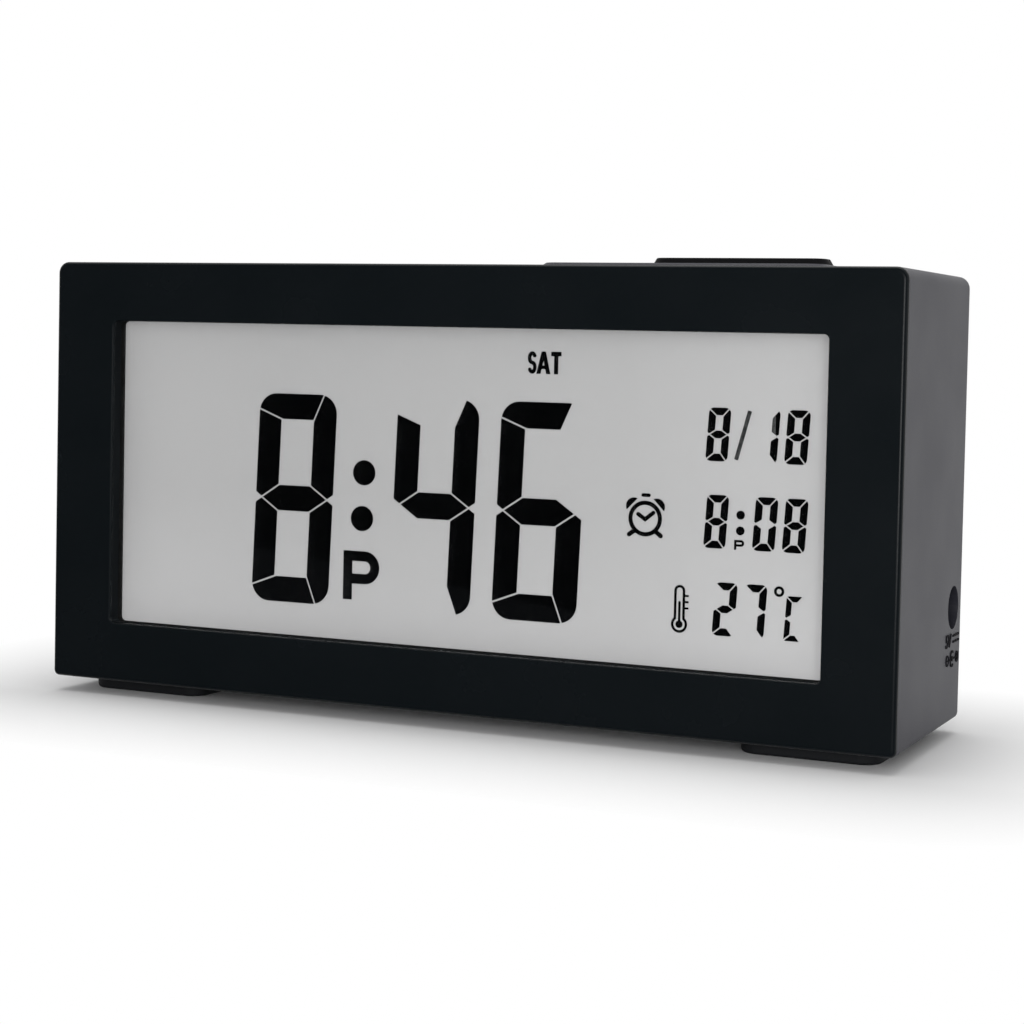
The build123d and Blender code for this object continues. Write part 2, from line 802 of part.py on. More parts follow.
# Rear housing: a box moulding open to the front, with the bay, the bosses and all the openings
with BuildPart() as rear_housing:
    with BuildSketch(facing_front(housing_y)) as housing_outline:
        case_outline(housing_outline)
    extrude(amount=-(back_y - housing_y))
    fillet(rear_housing.faces().sort_by(Axis.Y)[-1].edges(), back_round)
    with BuildSketch(facing_front(housing_y)):
        with Locations((0, mid_z)):
            RectangleRounded(case_width - 2 * case_wall, case_height - 2 * case_wall, cavity_corner)
    extrude(amount=-(inner_back_y - housing_y), mode=Mode.SUBTRACT)
    # Posts for the case screws run from the back wall to the bosses of the bezel.
    with BuildSketch(facing_front(case_boss_end_y + post_gap)):
        with Locations((0, mid_z)):
            with GridLocations(2 * case_boss_x, 2 * case_boss_z, 2, 2):
                Circle(post_radius)
    extrude(amount=-(inner_back_y - case_boss_end_y - post_gap))
    with BuildSketch(facing_front(back_y)):
        with Locations((0, mid_z)):
            with GridLocations(2 * case_boss_x, 2 * case_boss_z, 2, 2):
                Circle(case_well_radius)
    extrude(amount=back_y - case_seat_y, mode=Mode.SUBTRACT)
    with BuildSketch(facing_front(case_seat_y)):
        with Locations((0, mid_z)):
            with GridLocations(2 * case_boss_x, 2 * case_boss_z, 2, 2):
                Circle(case_hole_radius)
    extrude(amount=case_seat_wall + overrun, mode=Mode.SUBTRACT)
    # Battery bay: a tub behind the back wall, open to the back, with a rebate for the lid.
    with BuildSketch(facing_front(bay_floor_y - bay_wall)):
        with Locations((bay_x, bay_mid_z)):
            Rectangle(bay_length + 2 * bay_wall, bay_height + 2 * bay_wall)
    extrude(amount=-(inner_back_y - bay_floor_y + bay_wall))
    with BuildSketch(facing_front(bay_floor_y)):
        with Locations((bay_x, bay_mid_z)):
            Rectangle(bay_length, bay_height)
    extrude(amount=-(back_y - bay_floor_y), mode=Mode.SUBTRACT)
    with BuildSketch(facing_front(back_y)):
        with Locations((bay_x, bay_mid_z)):
            RectangleRounded(door_width + 2 * door_fit, door_height + 2 * door_fit, door_corner + door_fit)
    extrude(amount=door_thickness + door_seat_gap, mode=Mode.SUBTRACT)
    # Slots for the two tabs of the lid, behind the wall under the lid.
    with BuildSketch(facing_front(inner_back_y)):
        with Locations((bay_x, bay_bottom_z - bay_wall / 2)):
            with GridLocations(tab_spread, tab_spread, 2, 1):
                Rectangle(tab_width + 2 * tab_slot_fit, bay_wall + 2 * tab_slot_fit)
    extrude(amount=tab_slot_depth, mode=Mode.SUBTRACT)
    with BuildSketch(facing_front(back_y)):
        with Locations((bay_x, bay_bottom_z - door_lap / 2)):
            with GridLocations(tab_spread, tab_spread, 2, 1):
                Rectangle(tab_width + 2 * tab_slot_fit, door_lap)
    extrude(amount=case_wall + tab_slot_depth, mode=Mode.SUBTRACT)
    # Finger scoop above the lid
    with BuildSketch(facing_front(back_y)):
        with Locations((bay_x, door_top_z + scoop_rise - scoop_radius)):
            Circle(scoop_radius)
    extrude(amount=scoop_depth, mode=Mode.SUBTRACT)
    # Openings for the setting keys, and the bosses of the key board
    with BuildSketch(facing_front(back_y)):
        with Locations(*[(x, key_z) for x in key_xs]):
            SlotOverall(key_length + 2 * key_fit, key_height + 2 * key_fit)
    extrude(amount=case_wall, mode=Mode.SUBTRACT)
    with BuildSketch(facing_front(key_board_y)):
        with Locations((-key_boss_x, key_z), (key_boss_x, key_z)):
            Circle(key_boss_radius)
    extrude(amount=-(inner_back_y - key_board_y))
    with BuildSketch(facing_front(key_board_y)):
        with Locations((-key_boss_x, key_z), (key_boss_x, key_z)):
            Circle(key_pilot_radius)
    extrude(amount=-key_pilot_depth, mode=Mode.SUBTRACT)
    # Sound holes, inside a ring that carries the sounder
    with BuildSketch(facing_front(inner_back_y)):
        with Locations((sounder_x, sounder_z)):
            Circle(sounder_radius + sounder_ring_fit + sounder_ring_wall)
            Circle(sounder_radius + sounder_ring_fit, mode=Mode.SUBTRACT)
    extrude(amount=sounder_ring_height)
    with BuildSketch(facing_front(inner_back_y)):
        with Locations((sounder_x, sounder_z)):
            Circle(sounder_radius + sounder_ring_fit)
            Circle(sounder_radius - sounder_ledge_wall, mode=Mode.SUBTRACT)
    extrude(amount=sounder_ledge_height)
    with BuildSketch(facing_front(back_y)):
        with Locations((sounder_x, sounder_z)):
            Circle(sound_hole_radius)
            with PolarLocations(sound_hole_circle, sound_hole_count):
                Circle(sound_hole_radius)
    extrude(amount=case_wall, mode=Mode.SUBTRACT)
    # Cradle for the jack, and the round hole in front of it
    cradle_rise = jack_tall / 2 + cradle_fit + cradle_wall / 2
    with BuildSketch(facing_right(jack_face_x - jack_length)):
        with Locations((jack_y, jack_z)):
            with GridLocations(cradle_rise, 2 * cradle_rise, 1, 2):
                Rectangle(jack_depth, cradle_wall)
        with Locations(((jack_y + inner_back_y) / 2, jack_z)):
            with GridLocations(cradle_rise, 2 * cradle_rise, 1, 2):
                Rectangle(inner_back_y - jack_y, cradle_wall)
    extrude(amount=jack_length + jack_gap)
    with BuildSketch(facing_right(inner_side_x)):
        with Locations((jack_y, jack_z)):
            Circle(jack_hole_radius)
    extrude(amount=case_wall, mode=Mode.SUBTRACT)
    # Opening of the snooze key in the top
    with BuildSketch(Plane.XY.offset(inner_top_z)):
        with Locations((snooze_x, snooze_y)):
            RectangleRounded(
                snooze_width + 2 * snooze_fit, snooze_depth + 2 * snooze_fit, snooze_corner + snooze_fit
            )
    extrude(amount=case_wall, mode=Mode.SUBTRACT)
    # Shallow seats of the feet
    with BuildSketch(Plane.XY.offset(case_bottom)):
        with Locations((-foot_x, foot_y), (foot_x, foot_y)):
            RectangleRounded(foot_width, foot_length, foot_corner)
    extrude(amount=foot_seat, mode=Mode.SUBTRACT)
save(rear_housing, "rear_housing")

# Case screws
with BuildPart() as case_screws:
    with BuildSketch(facing_front(case_seat_y)):
        with Locations((0, mid_z)):
            with GridLocations(2 * case_boss_x, 2 * case_boss_z, 2, 2):
                Circle(case_head_radius)
    extrude(amount=-case_head_height)
    with BuildSketch(facing_front(case_seat_y)):
        with Locations((0, mid_z)):
            with GridLocations(2 * case_boss_x, 2 * case_boss_z, 2, 2):
                Circle(case_shank_radius)
    extrude(amount=case_shank_length)
    with BuildSketch(facing_front(case_seat_y + case_head_height)):
        with Locations((0, mid_z)):
            with GridLocations(2 * case_boss_x, 2 * case_boss_z, 2, 2):
                Rectangle(2 * case_head_radius * cross_share, cross_width)
                Rectangle(cross_width, 2 * case_head_radius * cross_share)
    extrude(amount=case_head_height / 2, mode=Mode.SUBTRACT)
save(case_screws, "case_screws")

# Rubber feet, one under each end
for name, x in (("foot_left", -foot_x), ("foot_right", foot_x)):
    with BuildPart() as foot:
        with BuildSketch(Plane.XY):
            with Locations((x, foot_y)):
                RectangleRounded(foot_width, foot_length, foot_corner)
        extrude(amount=foot_height + foot_seat)
        fillet(foot.faces().sort_by(Axis.Z)[0].edges(), foot_round)
    save(foot, name)

# Snooze key: a plate that stands just proud of the top, kept in by a flange under it
with BuildPart() as snooze_key:
    with BuildSketch(Plane.XY.offset(flange_bottom_z)):
        with Locations((snooze_x, snooze_y)):
            RectangleRounded(snooze_width, snooze_depth, snooze_corner)
    extrude(amount=case_top + snooze_proud - flange_bottom_z)
    snooze_face = snooze_key.faces().sort_by(Axis.Z)[-1]
    chamfer(snooze_face.edges(), snooze_slope_run, snooze_slope_drop, reference=snooze_face)
    with BuildSketch(Plane.XY.offset(flange_bottom_z)):
        with Locations((snooze_x, snooze_y)):
            RectangleRounded(
                snooze_width + 2 * flange_lap, snooze_depth + 2 * flange_lap, snooze_corner + flange_lap
            )
    extrude(amount=flange_thickness)
    with BuildSketch(Plane.XY.offset(flange_bottom_z)):
        with Locations((snooze_x, snooze_y)):
            RectangleRounded(
                snooze_width - 2 * snooze_wall, snooze_depth - 2 * snooze_wall, snooze_corner - snooze_wall
            )
    extrude(amount=case_top + snooze_proud - snooze_top - flange_bottom_z, mode=Mode.SUBTRACT)
    # Post over the switch
    with BuildSketch(Plane.XY.offset(snooze_post_z)):
        with Locations((snooze_x, snooze_post_y)):
            Circle(snooze_post_radius)
    extrude(amount=case_top + snooze_proud - snooze_top - snooze_post_z)
save(snooze_key, "snooze_key")

# Raised pad on the right part of the snooze key
with BuildPart() as snooze_pad:
    with BuildSketch(Plane.XY.offset(case_top + snooze_proud)):
        with Locations((pad_x, snooze_y)):
            RectangleRounded(pad_width, snooze_depth - 2 * pad_margin, pad_corner)
    extrude(amount=pad_height, taper=pad_slope)
    fillet(snooze_pad.faces().sort_by(Axis.Z)[-1].edges(), pad_round)
save(snooze_pad, "snooze_pad")

# Snooze switch on the back of the main board, its plunger pointing up
side_switch_top = snooze_post_z - plunger_proud
with BuildPart() as snooze_switch:
    with BuildSketch(Plane.XY.offset(side_switch_top - side_switch_height)):
        with Locations((snooze_x, snooze_post_y)):
            Rectangle(switch_side, side_switch_depth)
    extrude(amount=side_switch_height)
    with BuildSketch(Plane.XY.offset(side_switch_top)):
        with Locations((snooze_x, snooze_post_y)):
            Circle(plunger_radius + plunger_fit)
    extrude(amount=-(plunger_bury + snooze_travel + switch_bore_spare), mode=Mode.SUBTRACT)
save(snooze_switch, "snooze_switch")

with BuildPart() as snooze_plunger:
    with BuildSketch(Plane.XY.offset(side_switch_top - plunger_bury)):
        with Locations((snooze_x, snooze_post_y)):
            Circle(plunger_radius)
    extrude(amount=plunger_bury + plunger_proud)
save(snooze_plunger, "snooze_plunger")

# Setting keys, each with its flange and stem, and the plunger that it presses
for name, x in zip(key_names, key_xs):
    with BuildPart() as setting_key:
        with BuildSketch(facing_front(key_flange_y)):
            with Locations((x, key_z)):
                SlotOverall(key_length, key_height)
        extrude(amount=-(back_y + key_proud - key_flange_y))
        fillet(setting_key.faces().sort_by(Axis.Y)[-1].edges(), key_round)
        with BuildSketch(facing_front(key_flange_y)):
            with Locations((x, key_z)):
                SlotOverall(key_length + 2 * key_flange_lap, key_height + 2 * key_flange_lap)
        extrude(amount=key_flange_thickness)
        with BuildSketch(facing_front(key_flange_y - key_flange_thickness)):
            with Locations((x, key_z)):
                Circle(key_stem_radius)
        extrude(amount=key_stem_length)
    save(setting_key, name)
    with BuildPart() as key_plunger:
        with BuildSketch(facing_front(key_stem_y)):
            with Locations((x, key_z)):
                Circle(plunger_radius)
        extrude(amount=plunger_proud + plunger_bury)
    save(key_plunger, name.replace("key", "plunger"))

# Switches of the setting keys
with BuildPart() as key_switches:
    with BuildSketch(facing_front(switch_face_y)):
        with Locations(*[(x, key_z) for x in key_xs]):
            Rectangle(switch_side, switch_side)
    extrude(amount=switch_body)
    with BuildSketch(facing_front(switch_face_y)):
        with Locations(*[(x, key_z) for x in key_xs]):
            Circle(plunger_radius + plunger_fit)
    extrude(amount=plunger_bury + key_travel + switch_bore_spare, mode=Mode.SUBTRACT)
save(key_switches, "key_switches")

# Key board on its two bosses, and its screws
with BuildPart() as key_board:
    with BuildSketch(facing_front(key_board_y)):
        with Locations((0, key_z)):
            Rectangle(key_board_length, key_board_height)
        with Locations((-key_boss_x, key_z), (key_boss_x, key_z)):
            Circle(board_hole_radius, mode=Mode.SUBTRACT)
    extrude(amount=key_board_thickness)
save(key_board, "key_board")

with BuildPart() as key_board_screws:
    with BuildSketch(facing_front(key_board_y - key_board_thickness)):
        with Locations((-key_boss_x, key_z), (key_boss_x, key_z)):
            Circle(key_screw_head_radius)
    extrude(amount=key_screw_head_height)
    with BuildSketch(facing_front(key_board_y - key_board_thickness)):
        with Locations((-key_boss_x, key_z), (key_boss_x, key_z)):
            Circle(key_screw_shank_radius)
    extrude(amount=-key_screw_shank_length)
save(key_board_screws, "key_board_screws")

# Sounder: a brass disc on the ledge of its ring, with the ceramic on it
sounder_y = inner_back_y - sounder_ledge_height
with BuildPart() as sounder_disc:
    with BuildSketch(facing_front(sounder_y)):
        with Locations((sounder_x, sounder_z)):
            Circle(sounder_radius)
    extrude(amount=sounder_plate)
save(sounder_disc, "sounder_disc")

with BuildPart() as sounder_ceramic:
    with BuildSketch(facing_front(sounder_y - sounder_plate)):
        with Locations((sounder_x, sounder_z)):
            Circle(sounder_crystal_radius)
    extrude(amount=sounder_crystal)
save(sounder_ceramic, "sounder_ceramic")

# Jack body, with its bore towards the hole in the side
with BuildPart() as jack_body:
    with BuildSketch(facing_right(jack_face_x)):
        with Locations((jack_y, jack_z)):
            Rectangle(jack_depth, jack_tall)
    extrude(amount=-jack_length)
    with BuildSketch(facing_right(jack_face_x)):
        with Locations((jack_y, jack_z)):
            Circle(jack_bore_radius)
    extrude(amount=-jack_bore_depth, mode=Mode.SUBTRACT)
    # Hole for the tail of the pin, and a slot for the side contact along the bottom of the bore
    with BuildSketch(facing_right(jack_face_x)):
        with Locations((jack_y, jack_z)):
            Circle(jack_pin_radius)
    extrude(amount=-(jack_bore_depth + jack_pin_tail), mode=Mode.SUBTRACT)
    with BuildSketch(facing_right(jack_face_x - jack_bore_depth)):
        with Locations((jack_y, jack_z - jack_bore_radius)):
            Rectangle(jack_spring_width + 2 * jack_gap, 2 * jack_spring_slot)
    extrude(amount=jack_spring_length + jack_gap, mode=Mode.SUBTRACT)
save(jack_body, "jack_body")

# Centre pin
with BuildPart() as jack_pin:
    with BuildSketch(facing_right(jack_face_x - jack_bore_depth - jack_pin_tail)):
        with Locations((jack_y, jack_z)):
            Circle(jack_pin_radius)
    extrude(amount=jack_pin_tail + jack_pin_length)
    chamfer(jack_pin.faces().sort_by(Axis.X)[-1].edges(), jack_pin_edge)
save(jack_pin, "jack_pin")

# Side contact: a strip in the slot of the bore
with BuildPart() as jack_contact:
    with BuildSketch(facing_right(jack_face_x - jack_bore_depth)):
        with Locations((jack_y, jack_z - jack_bore_radius - jack_spring_slot + jack_spring_thickness / 2)):
            Rectangle(jack_spring_width, jack_spring_thickness)
    extrude(amount=jack_spring_length)
save(jack_contact, "jack_contact")

# Three cells, turned by turns, each with its nub against a plate and its flat end on a bow
bay_left_x = bay_x - bay_length / 2
bay_right_x = bay_x + bay_length / 2
cell_zs = [bay_mid_z + cell_pitch * ((cell_count - 1) / 2 - i) for i in range(cell_count)]
nub_reach = contact_plate + cell_touch
with BuildPart() as battery_cells:
    for i, z in enumerate(cell_zs):
        way = 1 if i % 2 == 0 else -1
        nub_x = bay_right_x - nub_reach if way > 0 else bay_left_x + nub_reach
        with BuildSketch(facing_right(nub_x - way * cell_nub_length)):
            with Locations((cell_axis_y, z)):
                Circle(cell_radius)
        extrude(amount=-way * (cell_length - cell_nub_length))
        with BuildSketch(facing_right(nub_x)):
            with Locations((cell_axis_y, z)):
                Circle(cell_nub_radius)
        extrude(amount=-way * cell_nub_length)
    chamfer(battery_cells.edges().filter_by(GeomType.CIRCLE).group_by(SortBy.RADIUS)[-1], cell_edge)
save(battery_cells, "battery_cells")

# Contacts: plates against the ends of the bay, with a bow towards each flat end.
# Two of them bridge a bow and a plate, so that the cells work in a row.
right_zs, left_zs = cell_zs[0::2], cell_zs[1::2]
contacts = (
    ("contact_positive", bay_right_x, cell_zs[:1], left_zs),
    ("contact_bridge_right", bay_right_x, cell_zs[1:], left_zs),
    ("contact_bridge_left", bay_left_x, cell_zs[:-1], right_zs),
    ("contact_negative", bay_left_x, cell_zs[-1:], right_zs),
)
for name, wall_x, spots, flat_end_zs in contacts:
    way = 1 if wall_x < bay_x else -1
    with BuildPart() as contact:
        with BuildSketch(facing_right(wall_x + way * contact_seat)):
            with Locations((cell_axis_y, sum(spots) / len(spots))):
                Rectangle(contact_size, contact_size + max(spots) - min(spots))
        extrude(amount=way * contact_plate)
        for z in (z for z in spots if z in flat_end_zs):
            face_x = wall_x + way * (contact_seat + contact_plate)
            crown_x = face_x + way * (contact_bow - contact_plate)
            with BuildSketch(facing_front(cell_axis_y + contact_bow_width / 2)):
                with BuildLine():
                    ThreePointArc(
                        (face_x, z - contact_bow_chord / 2), (crown_x, z), (face_x, z + contact_bow_chord / 2)
                    )
                trace(line_width=contact_plate)
            extrude(amount=contact_bow_width)
    save(contact, name)

# Battery lid: a plate in its rebate, with two tabs below that hook behind the wall
pivot_z = door_bottom_z
tab_face_y = back_y - case_wall - tab_gap
with BuildPart() as battery_door:
    with BuildSketch(facing_front(back_y)):
        with Locations((bay_x, bay_mid_z)):
            RectangleRounded(door_width, door_height, door_corner)
    extrude(amount=door_thickness)
    for x in (bay_x - tab_spread / 2, bay_x + tab_spread / 2):
        with BuildSketch(facing_right(x - tab_width / 2)):
            with BuildLine():
                Polyline(
                    (back_y - door_thickness, pivot_z),
                    (back_y - door_thickness, pivot_z + tab_neck),
                    (tab_face_y - tab_thickness, pivot_z + tab_neck),
                    (tab_face_y - tab_thickness, pivot_z - tab_reach),
                    (tab_face_y, pivot_z - tab_reach),
                    (tab_face_y, pivot_z),
                    close=True,
                )
            make_face()
        extrude(amount=tab_width)
    # Two slots free a springy tongue in the upper edge, with ridges for the thumb.
    with BuildSketch(facing_front(back_y)):
        with Locations((bay_x, door_top_z - tongue_slot_length / 2)):
            with GridLocations(tongue_width, tongue_width, 2, 1):
                Rectangle(tongue_slot, tongue_slot_length)
    extrude(amount=door_thickness, mode=Mode.SUBTRACT)
    with BuildSketch(facing_front(back_y)):
        with Locations((bay_x, door_top_z - tongue_slot_length / 2)):
            with GridLocations(ridge_pitch, ridge_pitch, 1, ridge_count):
                Rectangle(ridge_length, ridge_width)
    extrude(amount=ridge_depth, mode=Mode.SUBTRACT)
save(battery_door, "battery_door")
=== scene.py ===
"""The looks of a desk clock with a large liquid crystal display, in metres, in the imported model's frame."""

import math

import bmesh
import bpy
from mathutils import Matrix, Vector


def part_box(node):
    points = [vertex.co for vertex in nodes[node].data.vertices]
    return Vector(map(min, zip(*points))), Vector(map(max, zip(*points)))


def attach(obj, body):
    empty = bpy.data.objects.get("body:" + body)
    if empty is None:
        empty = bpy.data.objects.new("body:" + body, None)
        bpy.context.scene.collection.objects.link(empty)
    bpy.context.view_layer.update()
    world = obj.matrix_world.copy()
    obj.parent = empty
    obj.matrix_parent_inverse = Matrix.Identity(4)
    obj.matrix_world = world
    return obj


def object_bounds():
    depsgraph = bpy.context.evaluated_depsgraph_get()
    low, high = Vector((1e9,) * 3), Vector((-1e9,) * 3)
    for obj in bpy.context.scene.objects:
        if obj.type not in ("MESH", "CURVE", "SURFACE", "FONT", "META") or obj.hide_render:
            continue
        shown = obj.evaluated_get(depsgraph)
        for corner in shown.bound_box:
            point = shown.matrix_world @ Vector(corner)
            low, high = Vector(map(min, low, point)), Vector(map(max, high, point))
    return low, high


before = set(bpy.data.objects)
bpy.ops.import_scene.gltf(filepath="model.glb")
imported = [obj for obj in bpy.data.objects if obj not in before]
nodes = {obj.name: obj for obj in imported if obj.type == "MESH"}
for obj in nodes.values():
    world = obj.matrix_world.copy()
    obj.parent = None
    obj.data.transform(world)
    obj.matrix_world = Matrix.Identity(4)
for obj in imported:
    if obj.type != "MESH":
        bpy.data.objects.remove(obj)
cad_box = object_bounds()


# Front bezel: an injection moulded frame of black plastic round the window, polished in the tool.
# Its thin rim laps the mouth of the housing, and four screws from the back pull it on.
def group_socket(tree, name, kind, way):
    """Add a named socket to a shader or geometry group."""
    return tree.interface.new_socket(name=name, in_out=way, socket_type=kind)


def link(tree, source, target):
    """Join an output socket to an input socket."""
    tree.links.new(source, target)


# The grain that spark erosion leaves in a moulding, and the faint smudges that hands leave on it.
noise_low, noise_high = 0.3, 0.7
grain_detail, smudge_detail = 2.0, 5.0
moulded_grain = bpy.data.node_groups.new("moulded_grain", "ShaderNodeTree")
group_socket(moulded_grain, "Grain Size", "NodeSocketFloat", "INPUT")
group_socket(moulded_grain, "Smudge Size", "NodeSocketFloat", "INPUT")
group_socket(moulded_grain, "Grain", "NodeSocketFloat", "OUTPUT")
group_socket(moulded_grain, "Smudge", "NodeSocketFloat", "OUTPUT")
grain_in = moulded_grain.nodes.new("NodeGroupInput")
grain_out = moulded_grain.nodes.new("NodeGroupOutput")
grain_place = moulded_grain.nodes.new("ShaderNodeTexCoord")
for size_name, output_name, detail in (
    ("Grain Size", "Grain", grain_detail),
    ("Smudge Size", "Smudge", smudge_detail),
):
    scale = moulded_grain.nodes.new("ShaderNodeMath")
    scale.operation = "DIVIDE"
    scale.inputs[0].default_value = 1.0
    link(moulded_grain, grain_in.outputs[size_name], scale.inputs[1])
    noise = moulded_grain.nodes.new("ShaderNodeTexNoise")
    noise.inputs["Detail"].default_value = detail
    link(moulded_grain, grain_place.outputs["Object"], noise.inputs["Vector"])
    link(moulded_grain, scale.outputs[0], noise.inputs["Scale"])
    spread = moulded_grain.nodes.new("ShaderNodeMapRange")
    spread.inputs["From Min"].default_value = noise_low
    spread.inputs["From Max"].default_value = noise_high
    link(moulded_grain, noise.outputs["Fac"], spread.inputs["Value"])
    link(moulded_grain, spread.outputs["Result"], grain_out.inputs[output_name])


def new_finish(name, roughness, specular=0.5, metallic=0.0):
    """A material with its shader, for a finish that nodes will fill in."""
    material = bpy.data.materials.new(name)
    material.use_nodes = True
    shader = material.node_tree.nodes["Principled BSDF"]
    shader.inputs["Roughness"].default_value = roughness
    shader.inputs["Specular IOR Level"].default_value = specular
    shader.inputs["Metallic"].default_value = metallic
    return material, material.node_tree, shader


def mix_colours(tree, factor, first, second, target):
    """Mix two plain colours by a mask, into a colour input."""
    mix = tree.nodes.new("ShaderNodeMix")
    mix.data_type = "RGBA"
    mix.inputs["A"].default_value = (*first, 1.0)
    mix.inputs["B"].default_value = (*second, 1.0)
    link(tree, factor, mix.inputs["Factor"])
    link(tree, mix.outputs["Result"], target)


def map_range(tree, value, low, high, to_low, to_high):
    """The value, carried from one range to another and kept within it."""
    ranged = tree.nodes.new("ShaderNodeMapRange")
    ranged.inputs["From Min"].default_value = low
    ranged.inputs["From Max"].default_value = high
    ranged.inputs["To Min"].default_value = to_low
    ranged.inputs["To Max"].default_value = to_high
    link(tree, value, ranged.inputs["Value"])
    return ranged.outputs["Result"]


def bump(tree, shader, height, distance):
    """Raise the surface by a mask times a height in metres."""
    raised = tree.nodes.new("ShaderNodeBump")
    raised.inputs["Distance"].default_value = distance
    raised.inputs["Strength"].default_value = 1.0
    link(tree, height, raised.inputs["Height"])
    link(tree, raised.outputs["Normal"], shader.inputs["Normal"])


def grain_of(tree, grain_size, smudge_size):
    """Place the shared grain in a material."""
    grain = tree.nodes.new("ShaderNodeGroup")
    grain.node_tree = moulded_grain
    grain.inputs["Grain Size"].default_value = grain_size
    grain.inputs["Smudge Size"].default_value = smudge_size
    return grain


def moulded(
    name, colour, handled, roughness, spread, grain_size, grain_depth, specular=0.5, smudge_size=0.012
):
    """A moulded finish: a colour that shifts a little where it is handled, over a fine grain."""
    material, tree, shader = new_finish(name, roughness, specular)
    grain = grain_of(tree, grain_size, smudge_size)
    mix_colours(tree, grain.outputs["Smudge"], colour, handled, shader.inputs["Base Color"])
    dull = map_range(tree, grain.outputs["Smudge"], 0.0, 1.0, roughness - spread, roughness + spread)
    link(tree, dull, shader.inputs["Roughness"])
    bump(tree, shader, grain.outputs["Grain"], grain_depth)
    return material


def math_node(tree, operation, first, second=0.0):
    """The result of an operation on one or two values, each a socket or a number."""
    result = tree.nodes.new("ShaderNodeMath")
    result.operation = operation
    for socket, value in zip(result.inputs, (first, second)):
        if isinstance(value, (int, float)):
            socket.default_value = value
        else:
            link(tree, value, socket)
    return result.outputs[0]


def place_axis(tree, axis):
    """One coordinate of the surface, in metres."""
    place = tree.nodes.new("ShaderNodeTexCoord")
    split = tree.nodes.new("ShaderNodeSeparateXYZ")
    link(tree, place.outputs["Object"], split.inputs["Vector"])
    return split.outputs[axis]


def away(tree, axis, centre):
    """How far the surface lies from a place on an axis, on either side of it."""
    return math_node(tree, "ABSOLUTE", math_node(tree, "SUBTRACT", place_axis(tree, axis), centre))


def within(tree, axis, low, high):
    """One where a coordinate of the surface lies between two places."""
    return math_node(tree, "LESS_THAN", away(tree, axis, (low + high) / 2), (high - low) / 2)


def dress(material, *names):
    """Give CAD nodes their finish."""
    for name in names:
        nodes[name].data.materials.clear()
        nodes[name].data.materials.append(material)


bezel_low, bezel_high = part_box("front_bezel")
mid_z = (bezel_low.z + bezel_high.z) / 2
bezel_black, bezel_handled = (0.0046, 0.0064, 0.0076), (0.0054, 0.0072, 0.0086)
bezel_finish = moulded(
    "bezel_black", bezel_black, bezel_handled, roughness=0.25, spread=0.04,
    grain_size=0.00025, grain_depth=0.000001, specular=0.12, smudge_size=0.016,
)
dress(bezel_finish, "front_bezel")

# The walls of the window are left matt in the tool, so that they don't mirror the display.
lens_low, lens_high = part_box("display_lens")
polished_lip, wall_matt = 0.0005, 0.9
tree = bezel_finish.node_tree
bezel_roughness = tree.nodes["Principled BSDF"].inputs["Roughness"]
behind_lip = math_node(tree, "GREATER_THAN", place_axis(tree, "Y"), bezel_low.y + polished_lip)
in_width = within(tree, "X", lens_low.x, lens_high.x)
in_height = within(tree, "Z", lens_low.z, lens_high.z)
wall = math_node(tree, "MULTIPLY", math_node(tree, "MULTIPLY", in_width, in_height), behind_lip)
matt = math_node(tree, "MULTIPLY", wall, wall_matt)
link(tree, math_node(tree, "MAXIMUM", bezel_roughness.links[0].from_socket, matt), bezel_roughness)


# Display lens: a clear acrylic plate, polished on both faces, let into a pocket behind the window.
# It stands a little behind the face of the bezel and carries the faintest smears.
def mix_surfaces(tree, mask, first, second, output):
    """Show the second of two surfaces where a mask is one."""
    mix = tree.nodes.new("ShaderNodeMixShader")
    link(tree, mask, mix.inputs[0])
    link(tree, first, mix.inputs[1])
    link(tree, second, mix.inputs[2])
    link(tree, mix.outputs["Shader"], tree.nodes[output].inputs["Surface"])


def clear_sheet(name, tint, refraction, smear_low, smear_high, smear_size):
    """A clear sheet that lets lamplight through to what is behind it."""
    material, tree, shader = new_finish(name, roughness=smear_low)
    shader.inputs["Base Color"].default_value = (*tint, 1.0)
    shader.inputs["IOR"].default_value = refraction
    shader.inputs["Transmission Weight"].default_value = 1.0
    grain = grain_of(tree, smear_size, smear_size)
    smear = map_range(tree, grain.outputs["Smudge"], 0.0, 1.0, smear_low, smear_high)
    link(tree, smear, shader.inputs["Roughness"])
    path = tree.nodes.new("ShaderNodeLightPath")
    lamp = math_node(tree, "MAXIMUM", path.outputs["Is Shadow Ray"], path.outputs["Is Diffuse Ray"])
    through = tree.nodes.new("ShaderNodeBsdfTransparent")
    through.inputs["Color"].default_value = (*tint, 1.0)
    mix_surfaces(tree, lamp, shader.outputs["BSDF"], through.outputs["BSDF"], "Material Output")
    return material


lens_tint, acrylic_refraction = (0.985, 0.99, 0.988), 1.49
lens_finish = clear_sheet(
    "lens_acrylic", lens_tint, acrylic_refraction, smear_low=0.0, smear_high=0.035, smear_size=0.02
)
dress(lens_finish, "display_lens")


# Liquid crystal cell: two sheets of glass with the figures between them, on a foam gasket.
# The rear sheet carries the grey polariser and reflector film that makes the pale field.
# The figures are areas of the crystal that turn dark.
glass_tint, glass_refraction = (0.985, 0.99, 0.985), 1.52
glass_finish = clear_sheet(
    "cell_glass", glass_tint, glass_refraction, smear_low=0.0, smear_high=0.01, smear_size=0.03
)
dress(glass_finish, "lcd_front_glass")

field_shade, field_speck = (0.443, 0.432, 0.441), (0.433, 0.422, 0.431)
field_finish = moulded(
    "display_field", field_shade, field_speck, roughness=0.55, spread=0.05,
    grain_size=0.00016, grain_depth=0.000002, specular=0.2, smudge_size=0.0022,
)
dress(field_finish, "lcd_rear_glass")

